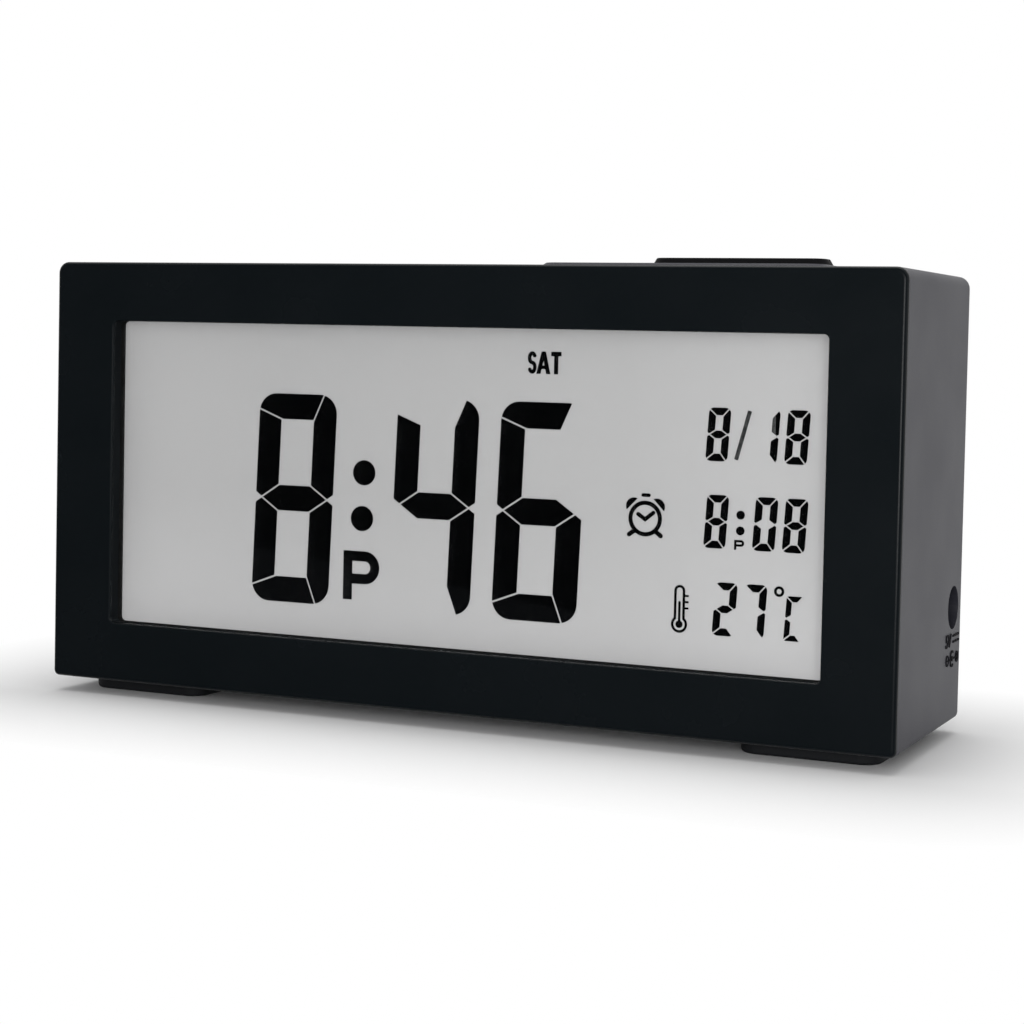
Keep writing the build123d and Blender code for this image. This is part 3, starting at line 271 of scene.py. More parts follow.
# The field glows a little all over, as painted light that lifts the shade the window's walls cast on it, and
# more toward its foot and its two ends by the side lights, as painted brightening.
painted_even_glow, painted_full_glow = (0.118, 0.115, 0.118), (0.246, 0.241, 0.246)
glow_low, glow_high = mid_z - 0.022, mid_z - 0.002
glow_inner, glow_outer = 0.028, 0.058
foot_share, end_share = 0.62, 0.38
tree = field_finish.node_tree
shader = tree.nodes["Principled BSDF"]
shader.inputs["Emission Strength"].default_value = 1.0
painted_foot_brightening = map_range(tree, place_axis(tree, "Z"), glow_low, glow_high, foot_share, 0.0)
painted_end_brightening = map_range(tree, away(tree, "X", 0.0), glow_inner, glow_outer, 0.0, end_share)
glow = math_node(tree, "ADD", painted_foot_brightening, painted_end_brightening)
mix_colours(tree, glow, painted_even_glow, painted_full_glow, shader.inputs["Emission Color"])

figure_ink, figure_thin = (0.0006, 0.0006, 0.0007), (0.0018, 0.0018, 0.0019)
figure_finish = moulded(
    "display_figures", figure_ink, figure_thin, roughness=0.6, spread=0.06,
    grain_size=0.0003, grain_depth=0.000002, specular=0.0, smudge_size=0.004,
)
dress(figure_finish, "lcd_segments")


def lay_over(tree, mask, colour, target):
    """Lay a plain colour over what feeds a colour input, by a mask."""
    below = target.links[0].from_socket
    mix = tree.nodes.new("ShaderNodeMix")
    mix.data_type = "RGBA"
    mix.inputs["B"].default_value = (*colour, 1.0)
    link(tree, mask, mix.inputs["Factor"])
    link(tree, below, mix.inputs["A"])
    link(tree, mix.outputs["Result"], target)


# The stroke of the date and the left of the upper bar of its one turn only partly dark, in streaks.
weak_shade, weak_streak = (0.085, 0.085, 0.087), 0.0009
stroke_across, stroke_upright = (0.0442, 0.047), (0.0058, 0.0135)
bar_across, bar_upright = (0.0497, 0.05045), (0.0096, 0.0134)
tree = figure_finish.node_tree
streak = grain_of(tree, weak_streak, weak_streak).outputs["Smudge"]
for (left, right), (low, high) in ((stroke_across, stroke_upright), (bar_across, bar_upright)):
    across = within(tree, "X", left, right)
    upright = within(tree, "Z", mid_z + low, mid_z + high)
    weak = math_node(tree, "MULTIPLY", math_node(tree, "MULTIPLY", across, upright), streak)
    lay_over(tree, weak, weak_shade, tree.nodes["Principled BSDF"].inputs["Base Color"])

foam_black, foam_pore = (0.006, 0.006, 0.006), (0.012, 0.012, 0.012)
gasket_finish = moulded(
    "gasket_foam", foam_black, foam_pore, roughness=0.9, spread=0.05,
    grain_size=0.0004, grain_depth=0.00008, specular=0.2, smudge_size=0.001,
)
dress(gasket_finish, "lcd_gasket")


# Signs of the display: a weekday, the half of the day, a small alarm clock and a thermometer.
# They are fixed shapes of the same dark crystal as the figures, between the same two sheets.
# Their places are measured from the middle of the bezel.
def arc(centre, radius, start, end, steps=16):
    """Points along an arc between two angles in degrees, ends included."""
    angles = [math.radians(start + (end - start) * i / steps) for i in range(steps + 1)]
    return [(centre[0] + radius * math.cos(a), centre[1] + radius * math.sin(a)) for a in angles]


def circle(centre, radius, steps=48):
    """A closed circle."""
    return arc(centre, radius, 0, 360, steps)[:-1]


def stroke(points, width):
    """The closed outline of a line of even width with round ends, mitred at its corners."""
    half = width / 2
    path = [Vector(p) for p in points]
    runs = [(b - a).normalized() for a, b in zip(path, path[1:])]
    left, right = [], []
    for before, after, p in zip(runs, runs[1:], path[1:-1]):
        across = Vector((-before.y - after.y, before.x + after.x)).normalized()
        reach = half / across.dot(Vector((-after.y, after.x)))
        left.append(tuple(p + across * reach))
        right.append(tuple(p - across * reach))
    start = math.degrees(math.atan2(runs[0].y, runs[0].x))
    end = math.degrees(math.atan2(runs[-1].y, runs[-1].x))
    tail = arc(path[0], half, start + 270, start + 90)
    head = arc(path[-1], half, end + 90, end - 90)
    return tail + left + head + right[::-1]


def shape_mesh(source):
    """The plain mesh of a curve or text object, which is then removed."""
    bpy.context.scene.collection.objects.link(source)
    held = source.evaluated_get(bpy.context.evaluated_depsgraph_get())
    mesh = bpy.data.meshes.new_from_object(held)
    data = source.data
    bpy.data.objects.remove(source)
    bpy.data.curves.remove(data)
    return mesh


def plate(outlines, thickness):
    """A flat plate cut to closed outlines, where an outline inside another is a hole."""
    curve = bpy.data.curves.new("outline", "CURVE")
    curve.dimensions = "2D"
    curve.fill_mode = "BOTH"
    curve.extrude = thickness / 2
    for points in outlines:
        spline = curve.splines.new("POLY")
        spline.points.add(len(points) - 1)
        spline.use_cyclic_u = True
        for corner, (x, y) in zip(spline.points, points):
            corner.co = (x, y, 0.0, 1.0)
    return shape_mesh(bpy.data.objects.new("outline", curve))


def join(name, meshes, place, finish, body):
    """One piece from flat meshes, set in its place, with its finish and the body that carries it."""
    built = bmesh.new()
    for mesh in meshes:
        built.from_mesh(mesh)
        bpy.data.meshes.remove(mesh)
    bmesh.ops.remove_doubles(built, verts=built.verts, dist=1e-7)
    bmesh.ops.recalc_face_normals(built, faces=built.faces)
    built.transform(place)
    mesh = bpy.data.meshes.new(name)
    built.to_mesh(mesh)
    built.free()
    mesh.materials.clear()
    mesh.materials.append(finish)
    for polygon in mesh.polygons:
        polygon.material_index = 0
    piece = bpy.data.objects.new(name, mesh)
    bpy.context.scene.collection.objects.link(piece)
    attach(piece, body)


segment_low, segment_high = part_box("lcd_segments")
sign_depth_share = 0.6
sign_thickness = (segment_high.y - segment_low.y) * sign_depth_share
facing_front = Matrix(((1, 0, 0), (0, 0, -1), (0, 1, 0))).to_4x4()
on_cell = Matrix.Translation((0, (segment_low.y + segment_high.y) / 2, mid_z)) @ facing_front


def curved_letter(low, high, line):
    """The first letter of the weekday: two bowls that turn opposite ways, in one line."""
    tip_angle = 30
    x = (low[0] + high[0]) / 2
    across = (high[0] - low[0] - line) / 2
    along = (high[1] - low[1] - line) / 4
    upper, lower = high[1] - line / 2 - along, low[1] + line / 2 + along
    path = [(x + across * a, upper + along * b) for a, b in arc((0, 0), 1.0, tip_angle, 270)]
    path += [(x + across * a, lower + along * b) for a, b in arc((0, 0), 1.0, 90, tip_angle - 180)[1:]]
    return [stroke(path, line)]


def peaked_letter(low, high, line):
    """The second letter of the weekday: two leaning legs with a bar between them."""
    rise_share, bar_share = 1.1, 0.8
    x = (low[0] + high[0]) / 2
    bar_low = low[1] + line * rise_share
    bar_high = bar_low + line * bar_share
    lean = (x - line / 2 - low[0]) / (high[1] - low[1])
    inner = [low[0] + line + lean * (z - low[1]) for z in (low[1], bar_low, bar_high)]
    peak = low[1] + (x - low[0] - line) / lean
    left_side = [(x - line / 2, high[1]), low, (inner[0], low[1]), (inner[1], bar_low)]
    right_side = [(2 * x - a, b) for a, b in left_side]
    hole = [(inner[2], bar_high), (2 * x - inner[2], bar_high), (x, peak)]
    return [left_side + right_side[::-1], hole]


def barred_letter(low, high, line):
    """The third letter of the weekday: a stem under a bar."""
    x = (low[0] + high[0]) / 2
    stem, bar = x - line / 2, high[1] - line
    left_side = [(low[0], high[1]), (low[0], bar), (stem, bar), (stem, low[1])]
    return [left_side + [(2 * x - a, b) for a, b in left_side[::-1]]]


weekday_low, weekday_high, weekday_line = 0.01754, 0.02085, 0.00066
curved_left, curved_right, curved_line_share = 0.01184, 0.01328, 0.85
peaked_left, peaked_right = 0.01326, 0.01553
barred_left, barred_right = 0.01562, 0.01726
sign_shapes = [
    curved_letter(
        (curved_left, weekday_low), (curved_right, weekday_high), weekday_line * curved_line_share
    ),
    peaked_letter((peaked_left, weekday_low), (peaked_right, weekday_high), weekday_line),
    barred_letter((barred_left, weekday_low), (barred_right, weekday_high), weekday_line),
]


def half_day_letter(low, high, line):
    """The letter for the second half of the day: a stem with a bowl at its top."""
    bowl_share = 0.335
    bowl = (high[1] - low[1]) * bowl_share
    inner = bowl - line
    centre = (high[0] - bowl, high[1] - bowl)
    stem = low[0] + line
    foot = [(stem, centre[1] - bowl), (stem, low[1]), low, (low[0], high[1])]
    outline = foot + arc(centre, bowl, -90, 90)[::-1]
    hole = arc(centre, inner, -90, 90) + [(stem, centre[1] + inner), (stem, centre[1] - inner)]
    return [outline, hole]


afternoon_low, afternoon_high, afternoon_line = (-0.0187, -0.01801), (-0.01243, -0.01046), 0.00155
small_low, small_high, small_line = (0.0447, -0.00667), (0.0462, -0.00525), 0.00034
sign_shapes.append(half_day_letter(afternoon_low, afternoon_high, afternoon_line))
sign_shapes.append(half_day_letter(small_low, small_high, small_line))

# The small alarm clock has a round face with two hands, and two bells, two legs and a button round it.
alarm_centre, alarm_radius, alarm_line = Vector((0.03104, -0.00295)), 0.0026, 0.00062
bell_reach, bell_half, bell_rise, bell_angle = 0.0029, 0.00116, 0.00084, 44.5
leg_top, leg_end, leg_line = (0.0017, -0.00185), (0.00245, -0.0024), 0.00068
button_left, button_right, button_line = (-0.0004, 0.0034), (0.00052, 0.0034), 0.00052
short_hand, hands_meet, long_hand, hand_line = (-0.0011, 0.0006), (0.0, -0.0001), (0.00125, 0.0009), 0.0006
bell_radius = (bell_half**2 + bell_rise**2) / (2 * bell_rise)
bell_spread = math.degrees(math.asin(bell_half / bell_radius))
sign_shapes.append([circle(alarm_centre, alarm_radius), circle(alarm_centre, alarm_radius - alarm_line)])
for side, angle in ((1, bell_angle), (-1, 180 - bell_angle)):
    outward = Vector((math.cos(math.radians(angle)), math.sin(math.radians(angle))))
    bell_centre = alarm_centre + outward * (bell_reach + bell_rise - bell_radius)
    sign_shapes.append([arc(bell_centre, bell_radius, angle - bell_spread, angle + bell_spread)])
    leg = [alarm_centre + Vector((side * x, z)) for x, z in (leg_top, leg_end)]
    sign_shapes.append([stroke(leg, leg_line)])
button = [alarm_centre + Vector(p) for p in (button_left, button_right)]
hands = [alarm_centre + Vector(p) for p in (short_hand, hands_meet, long_hand)]
sign_shapes += [[stroke(button, button_line)], [stroke(hands, hand_line)]]


def keyhole(centre, bulb, half_width, top):
    """The outline of a round bulb with a tube standing on it."""
    meet = math.degrees(math.acos(half_width / bulb))
    cap_centre = (centre[0], top - half_width)
    return arc(cap_centre, half_width, 0, 180) + arc(centre, bulb, 180 - meet, 360 + meet, steps=32)


heat_centre = Vector((0.03665, -0.0179))
bulb_radius, tube_half, tube_top, tube_line = 0.00124, 0.00084, -0.01222, 0.00038
drop_radius, liquid_half, liquid_top = 0.00054, 0.00018, -0.01455
tube_outside = keyhole(heat_centre, bulb_radius, tube_half, tube_top)
tube_inside = keyhole(heat_centre, bulb_radius - tube_line, tube_half - tube_line, tube_top - tube_line)
sign_shapes += [[tube_outside, tube_inside], [keyhole(heat_centre, drop_radius, liquid_half, liquid_top)]]

# The marks of the thermometer's scale are even bars in a row.
bar_row = bpy.data.node_groups.new("bar_row", "GeometryNodeTree")
bar_inputs = {
    name: group_socket(bar_row, name, kind, "INPUT")
    for name, kind in (
        ("Count", "NodeSocketInt"),
        ("First", "NodeSocketVector"),
        ("Step", "NodeSocketVector"),
        ("Bar", "NodeSocketVector"),
        ("Finish", "NodeSocketMaterial"),
    )
}
group_socket(bar_row, "Geometry", "NodeSocketGeometry", "OUTPUT")
row_in = bar_row.nodes.new("NodeGroupInput")
row_out = bar_row.nodes.new("NodeGroupOutput")
row_line = bar_row.nodes.new("GeometryNodeMeshLine")
row_bar = bar_row.nodes.new("GeometryNodeMeshCube")
row_copies = bar_row.nodes.new("GeometryNodeInstanceOnPoints")
row_real = bar_row.nodes.new("GeometryNodeRealizeInstances")
row_finish = bar_row.nodes.new("GeometryNodeSetMaterial")
for source, target in (
    (row_in.outputs["Count"], row_line.inputs["Count"]),
    (row_in.outputs["First"], row_line.inputs["Start Location"]),
    (row_in.outputs["Step"], row_line.inputs["Offset"]),
    (row_in.outputs["Bar"], row_bar.inputs["Size"]),
    (row_line.outputs["Mesh"], row_copies.inputs["Points"]),
    (row_bar.outputs["Mesh"], row_copies.inputs["Instance"]),
    (row_copies.outputs["Instances"], row_real.inputs["Geometry"]),
    (row_real.outputs["Geometry"], row_finish.inputs["Geometry"]),
    (row_in.outputs["Finish"], row_finish.inputs["Material"]),
    (row_finish.outputs["Geometry"], row_out.inputs["Geometry"]),
):
    link(bar_row, source, target)


def row_mesh(count, first, step, size, finish):
    """A row of even bars, as a plain mesh."""
    host = bpy.data.objects.new("row", bpy.data.meshes.new("row"))
    bpy.context.scene.collection.objects.link(host)
    maker = host.modifiers.new("row", "NODES")
    maker.node_group = bar_row
    values = {"Count": count, "First": first, "Step": step, "Bar": size, "Finish": finish}
    for name, value in values.items():
        maker[bar_inputs[name].identifier] = value
    mesh = bpy.data.meshes.new_from_object(host.evaluated_get(bpy.context.evaluated_depsgraph_get()))
    empty = host.data
    host.modifiers.clear()
    bpy.data.objects.remove(host)
    bpy.data.meshes.remove(empty)
    return mesh


tick_length, tick_line, tick_pitch, tick_count, tick_low = 0.00055, 0.0003, 0.0009, 3, -0.01555
tick_first = (heat_centre.x + tube_half + tick_length / 2, tick_low, 0.0)
tick_size = (tick_length, tick_line, sign_thickness)
ticks = row_mesh(tick_count, tick_first, (0.0, tick_pitch, 0.0), tick_size, figure_finish)
sign_meshes = [plate(shape, sign_thickness) for shape in sign_shapes] + [ticks]
join("display_signs", sign_meshes, on_cell, figure_finish, "case")


# Back of the display: a white reflector sheet, a light guide with printed dots, two side lights,
# a moulded frame that clips the stack to the board, and a layered contact strip under the glass ledge.
sheet_white, sheet_shade = (0.72, 0.72, 0.7), (0.68, 0.68, 0.66)
reflector_finish = moulded(
    "reflector_sheet", sheet_white, sheet_shade, roughness=0.5, spread=0.05,
    grain_size=0.0005, grain_depth=0.000004,
)
dress(reflector_finish, "lcd_reflector")

guide_tint = (0.96, 0.97, 0.97)
guide_finish = clear_sheet(
    "guide_acrylic", guide_tint, acrylic_refraction, smear_low=0.05, smear_high=0.2, smear_size=0.004
)
dress(guide_finish, "backlight_guide")

light_cream, light_yellow = (0.75, 0.72, 0.5), (0.7, 0.66, 0.4)
light_finish = moulded(
    "side_light", light_cream, light_yellow, roughness=0.35, spread=0.05,
    grain_size=0.0003, grain_depth=0.000004,
)
dress(light_finish, "backlight_lights")

inner_black, inner_scuffed = (0.02, 0.02, 0.023), (0.027, 0.027, 0.03)
inner_finish = moulded(
    "inner_plastic", inner_black, inner_scuffed, roughness=0.42, spread=0.06,
    grain_size=0.0003, grain_depth=0.00001,
)
dress(inner_finish, "lcd_frame", "board_connectors", "key_switches", "snooze_switch")

# A wave texture at a scale of one has a pitch of a tenth of pi.
strip_pitch, unit_wave_pitch = 0.0001, math.pi / 10
strip_dark, strip_pale = (0.02, 0.02, 0.02), (0.42, 0.38, 0.36)
strip_finish, tree, shader = new_finish("contact_strip", roughness=0.7)
strip_wave = tree.nodes.new("ShaderNodeTexWave")
strip_wave.bands_direction = "X"
strip_wave.inputs["Scale"].default_value = unit_wave_pitch / strip_pitch
strip_place = tree.nodes.new("ShaderNodeTexCoord")
link(tree, strip_place.outputs["Object"], strip_wave.inputs["Vector"])
mix_colours(tree, strip_wave.outputs["Fac"], strip_dark, strip_pale, shader.inputs["Base Color"])
dress(strip_finish, "contact_strip")


# Circuit boards: glass fibre laminate under green solder mask, with copper tracks that show as paler lines.
# The parts on them are soldered, and the controller is a bare chip under a drop of black resin.
track_pitch, track_depth = 0.0045, 0.00002
track_half_share, track_edge_share = 0.05, 0.09
mask_green, track_green = (0.012, 0.09, 0.035), (0.03, 0.17, 0.07)
board_finish, tree, shader = new_finish("board_mask", roughness=0.35)
board_place = tree.nodes.new("ShaderNodeTexCoord")
lands = tree.nodes.new("ShaderNodeTexVoronoi")
lands.feature = "DISTANCE_TO_EDGE"
lands.inputs["Scale"].default_value = 1.0 / track_pitch
link(tree, board_place.outputs["Object"], lands.inputs["Vector"])
tracks = map_range(tree, lands.outputs["Distance"], track_half_share, track_edge_share, 1.0, 0.0)
mix_colours(tree, tracks, mask_green, track_green, shader.inputs["Base Color"])
bump(tree, shader, tracks, track_depth)
dress(board_finish, "main_board", "key_board")

resin_black, resin_dull = (0.012, 0.012, 0.012), (0.018, 0.018, 0.018)
resin_finish = moulded(
    "chip_resin", resin_black, resin_dull, roughness=0.22, spread=0.06,
    grain_size=0.0008, grain_depth=0.00003,
)
dress(resin_finish, "controller_blob", "heat_sensor", "chip_resistors")


def drawn_metal(name, colour, dark, roughness, grain_length, grain_width):
    """Drawn or plated metal with fine marks along X."""
    smoother, rougher, scratch_depth = 0.08, 0.1, 0.000006
    material, tree, shader = new_finish(name, roughness, metallic=1.0)
    place = tree.nodes.new("ShaderNodeTexCoord")
    stretch = tree.nodes.new("ShaderNodeMapping")
    stretch.inputs["Scale"].default_value = (1 / grain_length, 1 / grain_width, 1 / grain_width)
    marks = tree.nodes.new("ShaderNodeTexNoise")
    marks.inputs["Scale"].default_value = 1.0
    marks.inputs["Detail"].default_value = 3.0
    link(tree, place.outputs["Object"], stretch.inputs["Vector"])
    link(tree, stretch.outputs["Vector"], marks.inputs["Vector"])
    scratch = marks.outputs["Fac"]
    mix_colours(tree, scratch, colour, dark, shader.inputs["Base Color"])
    dull = map_range(tree, scratch, noise_low, noise_high, roughness - smoother, roughness + rougher)
    link(tree, dull, shader.inputs["Roughness"])
    bump(tree, shader, scratch, scratch_depth)
    return material


can_bright, can_dull = (0.78, 0.78, 0.8), (0.62, 0.62, 0.64)
can_metal = drawn_metal(
    "can_metal", can_bright, can_dull, roughness=0.3, grain_length=0.003, grain_width=0.0003
)
dress(can_metal, "crystal_can", "capacitors")
zinc_bright, zinc_dull = (0.56, 0.56, 0.58), (0.42, 0.42, 0.44)
screw_steel = drawn_metal(
    "screw_steel", zinc_bright, zinc_dull, roughness=0.32, grain_length=0.0008, grain_width=0.0004
)
dress(screw_steel, "board_screws", "key_board_screws")


# Rear housing: one box moulding of black plastic with a satin texture, open to the front.
# The battery bay, the wells of the screws and the cradle of the inlet are moulded with it.
case_black, case_handled = (0.0275, 0.0275, 0.037), (0.0305, 0.0305, 0.0405)
case_grain, case_grain_depth = 0.00025, 0.000012
case_finish = moulded(
    "case_plastic", case_black, case_handled, roughness=0.42, spread=0.025,
    grain_size=case_grain, grain_depth=case_grain_depth, specular=0.145,
)
dress(case_finish, "rear_housing")


# Power inlet: a moulded jack behind the round hole, with a nickel plated pin and a side contact.
# Under the hole the housing has a raised mark: a plain rating and the polarity of the plug.
jack_black, jack_scuffed = (0.018, 0.018, 0.021), (0.024, 0.024, 0.027)
jack_finish = moulded(
    "jack_plastic", jack_black, jack_scuffed, roughness=0.3, spread=0.05,
    grain_size=0.0003, grain_depth=0.000008,
)
dress(jack_finish, "jack_body")
nickel_bright, nickel_dull = (0.74, 0.72, 0.68), (0.62, 0.6, 0.56)
nickel = drawn_metal(
    "nickel", nickel_bright, nickel_dull, roughness=0.22, grain_length=0.002, grain_width=0.0003
)
dress(nickel, "jack_pin", "jack_contact")

# The wall of the hole is painted darker than the housing round it, as painted shade in the recess.
jack_low, jack_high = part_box("jack_body")
jack_y, jack_z = (jack_low.y + jack_high.y) / 2, (jack_low.z + jack_high.z) / 2
housing_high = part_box("rear_housing")[1]
hole_radius, hole_depth, hole_painted_shade = 0.0033, 0.004, (0.024, 0.024, 0.031)
tree = case_finish.node_tree
squares = []
for axis, centre in (("Y", jack_y), ("Z", jack_z)):
    off_axis = math_node(tree, "SUBTRACT", place_axis(tree, axis), centre)
    squares.append(math_node(tree, "MULTIPLY", off_axis, off_axis))
near_axis = math_node(tree, "LESS_THAN", math_node(tree, "ADD", *squares), hole_radius**2)
at_side = math_node(tree, "GREATER_THAN", place_axis(tree, "X"), housing_high.x - hole_depth)
in_hole = math_node(tree, "MULTIPLY", near_axis, at_side)
lay_over(tree, in_hole, hole_painted_shade, tree.nodes["Principled BSDF"].inputs["Base Color"])


def letters(body, low, high, thickness, weight):
    """Plain letters, fitted to a box and made heavier by a weight that is a share of their size."""
    text = bpy.data.curves.new("letters", "FONT")
    text.body = body
    text.size = 1.0
    text.offset = weight
    text.extrude = 0.5
    mesh = shape_mesh(bpy.data.objects.new("letters", text))
    corners = [v.co for v in mesh.vertices]
    least = Vector([min(c[i] for c in corners) for i in range(3)])
    most = Vector([max(c[i] for c in corners) for i in range(3)])
    sizes = (high[0] - low[0], high[1] - low[1], thickness)
    stretch = [size / (b - a) for size, a, b in zip(sizes, least, most)]
    centre = (least + most) / 2
    middle = Vector(((low[0] + high[0]) / 2, (low[1] + high[1]) / 2, 0.0))
    to_middle = Matrix.Translation(middle) @ Matrix.Diagonal((*stretch, 1.0))
    mesh.transform(to_middle @ Matrix.Translation(-centre))
    return mesh


mark_thickness, mark_proud, mark_line = 0.0003, 0.00012, 0.00034
facing_right = Matrix(((0, 0, 1), (1, 0, 0), (0, 1, 0))).to_4x4()
mark_x = housing_high.x + mark_proud - mark_thickness / 2
on_side = Matrix.Translation((mark_x, jack_y, jack_z)) @ facing_right

# The rating stands beside the sign of direct current, a line over three dashes.
rating_low, rating_high, rating_weight = (-0.0042, -0.0058), (-0.0008, -0.0038), 0.02
rating = letters("5V", rating_low, rating_high, mark_thickness, rating_weight)
direct_left, direct_right, direct_z = 0.0004, 0.004, -0.0043
dash_length, dash_pitch, dash_count, dash_z = 0.0007, 0.00145, 3, -0.0052
mark_shapes = [[stroke([(direct_left, direct_z), (direct_right, direct_z)], mark_line)]]
for i in range(dash_count):
    start = direct_left + i * dash_pitch
    mark_shapes.append([stroke([(start, dash_z), (start + dash_length, dash_z)], mark_line)])

# The polarity sign has a ringed minus and a ringed plus, with leads to the plug's sleeve and its pin.
polarity_z, polarity_reach, polarity_radius = -0.0077, 0.003, 0.00085
level_half, upright_half, thin_line = 0.00036, 0.00038, 0.0002
sleeve_radius, sleeve_gape, pin_radius = 0.0011, 60, 0.00042
lead_line, ring_gap, pin_gap, sleeve_gap = 0.00025, 0.0012, 0.0007, 0.0004
for x in (-polarity_reach, polarity_reach):
    ring_centre = (x, polarity_z)
    ring_inside = polarity_radius - mark_line / 2
    mark_shapes.append([circle(ring_centre, polarity_radius), circle(ring_centre, ring_inside)])
    level = [(x - level_half, polarity_z), (x + level_half, polarity_z)]
    mark_shapes.append([stroke(level, thin_line)])
for z in (-upright_half, upright_half):
    half_upright = [(polarity_reach, polarity_z + z / 2), (polarity_reach, polarity_z + z)]
    mark_shapes.append([stroke(half_upright, thin_line)])
sleeve = arc((0, polarity_z), sleeve_radius, sleeve_gape, 360 - sleeve_gape)
mark_shapes.append([stroke(sleeve, mark_line)])
mark_shapes.append([circle((0, polarity_z), pin_radius)])
pin_lead = (pin_gap, polarity_reach - ring_gap)
sleeve_lead = (ring_gap - polarity_reach, -sleeve_radius - sleeve_gap)
for start, end in (pin_lead, sleeve_lead):
    mark_shapes.append([stroke([(start, polarity_z), (end, polarity_z)], lead_line)])

mark_black, mark_worn = (0.0035, 0.0035, 0.005), (0.005, 0.005, 0.007)
mark_finish = moulded(
    "mark_matt", mark_black, mark_worn, roughness=0.85, spread=0.05,
    grain_size=0.0003, grain_depth=0.00001, specular=0.1,
)
mark_meshes = [rating] + [plate(shape, mark_thickness) for shape in mark_shapes]
join("inlet_mark", mark_meshes, on_side, mark_finish, "case")


# Cells and their contacts: three small cells in printed steel jackets, in the bay behind the lid.
# Each jacket is plain slate with a pale ring near its positive end, and the ends are bare nickel.
# The middle cell lies the other way round, and springs of nickel plated steel press on the ends.
cells_low, cells_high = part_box("battery_cells")
cells_mid = (cells_low + cells_high) / 2
cell_count = 3
cell_radius = (cells_high.z - cells_low.z) / cell_count / 2
jacket_slate, jacket_polish, jacket_dull = (0.045, 0.062, 0.08), 0.24, 0.36
ring_pale, ring_place, ring_half, ring_soft = (0.42, 0.43, 0.44), 0.0152, 0.0011, 0.0002
side_facing, end_facing = 0.3, 0.5
cell_finish, tree, shader = new_finish("cell_jacket", jacket_polish)
turned = math_node(tree, "LESS_THAN", away(tree, "Z", cells_mid.z), cell_radius)
way = map_range(tree, turned, 0.0, 1.0, 1.0, -1.0)
along = math_node(tree, "MULTIPLY", math_node(tree, "SUBTRACT", place_axis(tree, "X"), cells_mid.x), way)
from_ring = math_node(tree, "ABSOLUTE", math_node(tree, "SUBTRACT", along, ring_place))
ring = map_range(tree, from_ring, ring_half, ring_half + ring_soft, 1.0, 0.0)
mix_colours(tree, ring, jacket_slate, ring_pale, shader.inputs["Base Color"])
facing = tree.nodes.new("ShaderNodeNewGeometry")
facing_split = tree.nodes.new("ShaderNodeSeparateXYZ")
link(tree, facing.outputs["Normal"], facing_split.inputs["Vector"])
facing_along = math_node(tree, "ABSOLUTE", facing_split.outputs["X"])
bare = map_range(tree, facing_along, side_facing, end_facing, 0.0, 1.0)
lay_over(tree, bare, nickel_bright, shader.inputs["Base Color"])
link(tree, bare, shader.inputs["Metallic"])
grain = grain_of(tree, grain_size=0.0006, smudge_size=0.008)
jacket_gloss = map_range(tree, grain.outputs["Smudge"], 0.0, 1.0, jacket_polish, jacket_dull)
link(tree, jacket_gloss, shader.inputs["Roughness"])
bump(tree, shader, grain.outputs["Grain"], distance=0.000004)
dress(cell_finish, "battery_cells")
dress(nickel, "contact_positive", "contact_negative", "contact_bridge_left", "contact_bridge_right")


# Setting keys: four moulded caps on the back, each over the pale plunger of its own switch.
# A small printed sign above each one says what it sets.
key_names = ("time_key", "alarm_key", "up_key", "down_key")
key_black, key_handled = (0.011, 0.011, 0.0125), (0.015, 0.015, 0.017)
key_finish = moulded(
    "key_plastic", key_black, key_handled, roughness=0.36, spread=0.05,
    grain_size=0.00022, grain_depth=0.000008,
)
dress(key_finish, *key_names)
plunger_cream, plunger_dull = (0.62, 0.61, 0.57), (0.55, 0.54, 0.5)
plunger_finish = moulded(
    "plunger_plastic", plunger_cream, plunger_dull, roughness=0.45, spread=0.05,
    grain_size=0.0003, grain_depth=0.00001,
)
dress(plunger_finish, "time_plunger", "alarm_plunger", "up_plunger", "down_plunger", "snooze_plunger")

print_thickness, print_proud = 0.00012, 0.00003
sign_rise, sign_half, sign_line = 0.0056, 0.0011, 0.00028
minute_share, hour_share, hand_line_share = 0.55, 0.45, 0.8
dome_share, dome_rise_share, rim_share, rim_drop_share = 0.62, 0.2, 0.8, 0.62
clapper_share, clapper_drop_share = 0.2, 0.92
peak_share, base_share = 0.8, 0.6


def key_sign(name, x):
    """The outlines of one key's sign: a clock face, a bell, or an arrow up or down."""
    if name == "time_key":
        face_hands = [(x, sign_half * minute_share), (x, 0.0), (x + sign_half * hour_share, 0.0)]
        rings = [circle((x, 0.0), sign_half), circle((x, 0.0), sign_half - sign_line)]
        return [rings, [stroke(face_hands, sign_line * hand_line_share)]]
    if name == "alarm_key":
        bell = arc((x, sign_half * dome_rise_share), sign_half * dome_share, 0, 180)
        rim_half, rim = sign_half * rim_share, -sign_half * rim_drop_share
        clapper = circle((x, -sign_half * clapper_drop_share), sign_half * clapper_share)
        return [[bell + [(x - rim_half, rim), (x + rim_half, rim)]], [clapper]]
    way = 1 if name == "up_key" else -1
    base = -way * sign_half * base_share
    return [[[(x - sign_half, base), (x + sign_half, base), (x, way * sign_half * peak_share)]]]


facing_back = Matrix(((-1, 0, 0), (0, 0, 1), (0, 1, 0))).to_4x4()
key_signs = []
for name in key_names:
    key_low, key_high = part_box(name)
    for shape in key_sign(name, -(key_low.x + key_high.x) / 2):
        key_signs.append(plate(shape, print_thickness))
signs_y = housing_high.y + print_proud - print_thickness / 2
signs_z = (key_low.z + key_high.z) / 2 + sign_rise
on_back = Matrix.Translation((0, signs_y, signs_z)) @ facing_back
print_pale, print_worn = (0.42, 0.42, 0.43), (0.37, 0.37, 0.38)
print_grey = moulded(
    "print_grey", print_pale, print_worn, roughness=0.6, spread=0.06,
    grain_size=0.0002, grain_depth=0.000004, specular=0.3,
)
join("key_signs", key_signs, on_back, print_grey, "case")


